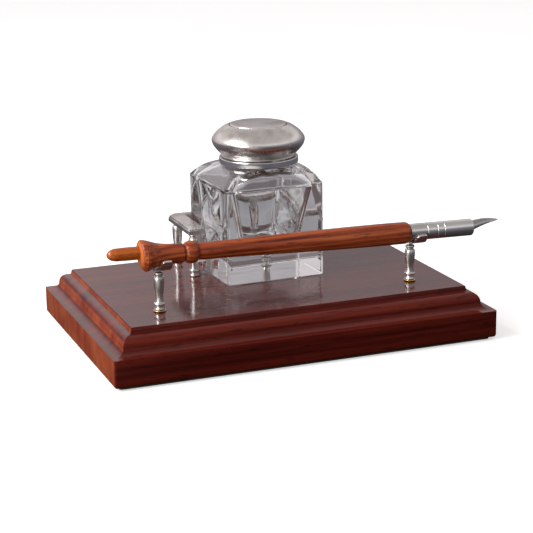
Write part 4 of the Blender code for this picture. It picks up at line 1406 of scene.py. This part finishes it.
@dataclass
class Studio:
    """A pale table in soft light, and the camera at the front left."""

    azimuth: float = math.radians(-20.75)
    elevation: float = math.radians(15.44)
    roll: float = math.radians(-0.87)
    distance: float = 0.7874
    aim: Colour = (0.0, -7.7 * MM, 9.5 * MM)
    aim_offset: Point = (1.577 * MM, -22.306 * MM)
    lens: float = 108.3
    sensor: float = 36.0
    front_left: Colour = (0.42, 0.41, 0.42)
    front_right: Colour = (0.26, 0.26, 0.28)
    back_left: Colour = (0.62, 0.55, 0.57)
    back_right: Colour = (0.27, 0.235, 0.255)
    cornice: Colour = (0.88, 0.86, 0.86)
    ceiling: Colour = (0.50, 0.47, 0.46)
    # Centre of the painted pool of light on the mirrored table.
    painted_light_pool_centre: Colour = (-0.24, -0.22, 0.0)
    # Centre of the painted shade patch on the refracted table.
    shade: Colour = (0.075, 0.27, 0.0)
    bounces: int = 32
    floor_size: float = 4.0
    lit: Colour = (0.0, 0.0, 0.05)
    lamps: tuple[Softbox, ...] = (
        Softbox("window_left", -88.0, 36.0, 1.1, (0.60, 0.56), 11.5),
        Softbox("strip_left", -62.0, 10.0, 1.1, (0.42, 0.36), 4.0),
    )

    def build_camera(self) -> None:
        """Place the camera on its sphere round the aim point."""
        back = outward(self.azimuth, self.elevation)
        level = Vector((math.cos(self.azimuth), math.sin(self.azimuth), 0.0))
        up = back.cross(level)
        right = math.cos(self.roll) * level + math.sin(self.roll) * up
        up = back.cross(right)
        across, above = self.aim_offset
        place = Vector(self.aim) - across * right - above * up + self.distance * back
        axes = Matrix((right, up, back)).transposed().to_4x4()
        camera = bpy.data.objects.new("camera", bpy.data.cameras.new("camera"))
        camera.matrix_world = Matrix.Translation(place) @ axes
        camera.data.lens = self.lens
        camera.data.sensor_width = self.sensor
        camera.data.clip_start, camera.data.clip_end = 0.01, 20.0
        bpy.context.scene.collection.objects.link(camera)
        bpy.context.scene.camera = camera

    def hang(self, lamp: Softbox) -> None:
        """Hang a rectangular light that faces the object.

        Args:
            lamp: Its place, size and power.
        """
        back = outward(math.radians(lamp.azimuth), math.radians(lamp.elevation))
        data = bpy.data.lights.new(lamp.name, "AREA")
        data.shape = "RECTANGLE"
        data.size, data.size_y = lamp.size
        data.energy = lamp.power
        light = bpy.data.objects.new(lamp.name, data)
        light.location = Vector(self.lit) + back * lamp.distance
        light.rotation_mode = "QUATERNION"
        light.rotation_quaternion = back.to_track_quat("Z", "Y")
        light.visible_camera = light.visible_transmission = False
        bpy.context.scene.collection.objects.link(light)

    def build_world(self) -> None:
        """Fill the room: a grey backdrop behind, a dark room in front, a pale ceiling."""
        world = bpy.data.worlds.new("room")
        bpy.context.scene.world = world
        world.use_nodes = True
        tree = world.node_tree
        tree.nodes.clear()
        room = self.room_node(tree, "ShaderNodeBackground", {})
        white = self.room_node(tree, "ShaderNodeBackground", {"Color": (1.0, 1.0, 1.0, 1.0)})
        place = self.room_node(tree, "ShaderNodeTexCoord", {}).outputs["Generated"]
        split = self.room_node(tree, "ShaderNodeSeparateXYZ", {0: place}).outputs
        across = self.room_node(tree, "ShaderNodeMapRange", {0: split["X"], 1: -0.55, 2: 0.05})
        level = {0: across.outputs[0], 6: (*self.front_left, 1.0), 7: (*self.front_right, 1.0)}
        front = self.room_node(tree, "ShaderNodeMix", level, data_type="RGBA")
        rear = self.room_node(tree, "ShaderNodeMapRange", {0: split["Y"], 1: -0.45, 2: 0.25})
        side = self.room_node(tree, "ShaderNodeMapRange", {0: split["X"], 1: 0.18, 2: 0.33})
        level = {0: side.outputs[0], 6: (*self.back_left, 1.0), 7: (*self.back_right, 1.0)}
        back = self.room_node(tree, "ShaderNodeMix", level, data_type="RGBA")
        level = {0: rear.outputs[0], 6: front.outputs[2], 7: back.outputs[2]}
        walls = self.room_node(tree, "ShaderNodeMix", level, data_type="RGBA")
        high = self.room_node(tree, "ShaderNodeMapRange", {0: split["Z"], 1: 0.20, 2: 0.45})
        level = {0: high.outputs[0], 6: walls.outputs[2], 7: (*self.cornice, 1.0)}
        raised = self.room_node(tree, "ShaderNodeMix", level, data_type="RGBA")
        highest = self.room_node(tree, "ShaderNodeMapRange", {0: split["Z"], 1: 0.50, 2: 0.80})
        level = {0: highest.outputs[0], 6: raised.outputs[2], 7: (*self.ceiling, 1.0)}
        whole = self.room_node(tree, "ShaderNodeMix", level, data_type="RGBA")
        tree.links.new(whole.outputs[2], room.inputs["Color"])
        path = self.room_node(tree, "ShaderNodeLightPath", {})
        shown = {0: path.outputs["Is Camera Ray"], 1: room.outputs[0], 2: white.outputs[0]}
        choose = self.room_node(tree, "ShaderNodeMixShader", shown)
        self.room_node(tree, "ShaderNodeOutputWorld", {0: choose.outputs[0]})

    @staticmethod
    def room_node(
        tree: bpy.types.NodeTree, kind: str, inputs: dict[Any, Any], **settings: Any
    ) -> bpy.types.Node:
        """Add a node to the room's tree.

        Args:
            tree: The room's node tree.
            kind: The node's type.
            inputs: Values or sockets by name or number.
            settings: The node's attributes.

        Returns:
            The node.
        """
        node = tree.nodes.new(kind)
        for key, value in settings.items():
            setattr(node, key, value)
        for key, value in inputs.items():
            if isinstance(value, bpy.types.NodeSocket):
                tree.links.new(value, node.inputs[key])
            else:
                node.inputs[key].default_value = value
        return node

    def table(self, name: str, drop: float, shader: Shader) -> bpy.types.Object:
        """Lay a wide table top.

        Args:
            name: Its name.
            drop: How far it lies under the object's foot.
            shader: Its finish.

        Returns:
            The staged table.
        """
        bm = bmesh.new()
        bmesh.ops.create_grid(bm, x_segments=1, y_segments=1, size=self.floor_size)
        bmesh.ops.translate(bm, vec=(0, 0, bottom("baize_pad") - drop), verts=bm.verts)
        mesh = bpy.data.meshes.new(name)
        bm.to_mesh(mesh)
        bm.free()
        mesh.materials.append(shader.material)
        table = bpy.data.objects.new(name, mesh)
        bpy.context.scene.collection.objects.link(table)
        table.visible_shadow = False
        return table

    def build_tables(self) -> None:
        """Lay the pale table top, and the darker ones that gloss and glass mirror, which glow with painted
        light and shade: a pool of light at the front left, shadow near the stand and a shaded patch behind
        the bottle.
        """
        pale = Shader("pale_table")
        cloud = pale.noise(pale.place(), 6.0, 2.0)
        pale.paint(Base_Color=pale.blend(cloud, (0.80, 0.80, 0.80), (0.78, 0.78, 0.78)), Roughness=0.9)
        pale.paint(Emission_Color=(1.0, 1.0, 1.0, 1.0), Emission_Strength=0.45)
        shown = self.table("pale_table", 0.05 * MM, pale)
        shown.visible_glossy = shown.visible_transmission = shown.visible_diffuse = False

        # The table that gloss mirrors glows with painted light: a bright painted pool of light at the
        # front left, painted shadow near the stand, and dim grey further out.
        dark = Shader("mirrored_table")
        flat = (1.0, 1.0, 0.0)
        shift = tuple(-c for c in self.painted_light_pool_centre)
        away = dark.length(dark.scaled(dark.place(), flat, shift))
        painted_light_pool_share = 1.0 - away.above(0.05, 0.24)
        far = dark.length(dark.scaled(dark.place(), flat)).above(0.13, 0.32)
        # Painted shadow of the stand: near black close to it, dim grey further away.
        under = dark.blend(far, (0.008, 0.008, 0.008), (0.09, 0.09, 0.12))
        dark.paint(Base_Color=(0.03, 0.028, 0.028, 1.0), Roughness=0.9, Emission_Strength=1.0)
        dark.paint(Emission_Color=dark.blend(painted_light_pool_share, under, (0.95, 0.93, 0.91)))
        mirrored = self.table("mirrored_table", 0.4 * MM, dark)
        mirrored.visible_camera = mirrored.visible_transmission = False

        grey = Shader("refracted_table")
        cloud = grey.noise(grey.place(), 9.0, 2.0)
        grey.paint(Base_Color=(0.02, 0.02, 0.02, 1.0), Roughness=0.9, Emission_Strength=1.0)
        # Painted shade: a dark patch around the shade centre on the table that only the glass sees,
        # darkening parts of the bottle.
        shift = tuple(-c for c in self.shade)
        away = grey.length(grey.scaled(grey.place(), flat, shift)).above(0.08, 0.17)
        clouds = grey.blend(cloud, (0.19, 0.175, 0.185), (0.44, 0.44, 0.46))
        grey.paint(Emission_Color=grey.blend(away, (0.10, 0.075, 0.08), clouds))
        refracted = self.table("refracted_table", 0.8 * MM, grey)
        refracted.visible_camera = refracted.visible_glossy = refracted.visible_diffuse = False

    def build(self) -> None:
        """Set up camera, room, tables and lights."""
        self.build_camera()
        self.build_world()
        self.build_tables()
        for lamp in self.lamps:
            self.hang(lamp)
        bpy.context.scene.view_settings.view_transform = "Standard"
        self.lengthen_paths()

    def lengthen_paths(self) -> None:
        """Let light cross the thick bottle's many walls before its path ends."""
        cycles = bpy.context.scene.cycles
        cycles.max_bounces = cycles.glossy_bounces = cycles.transmission_bounces = self.bounces


def main() -> None:
    """Build the object and its studio."""
    logging.basicConfig(level=logging.INFO, format="%(message)s")
    Plinth().build()
    for side in Side:
        PenRest(side).build()
    Gallery().build()
    Inkwell().build()
    Pen().build()
    Studio().build()


if __name__ == "__main__":
    main()
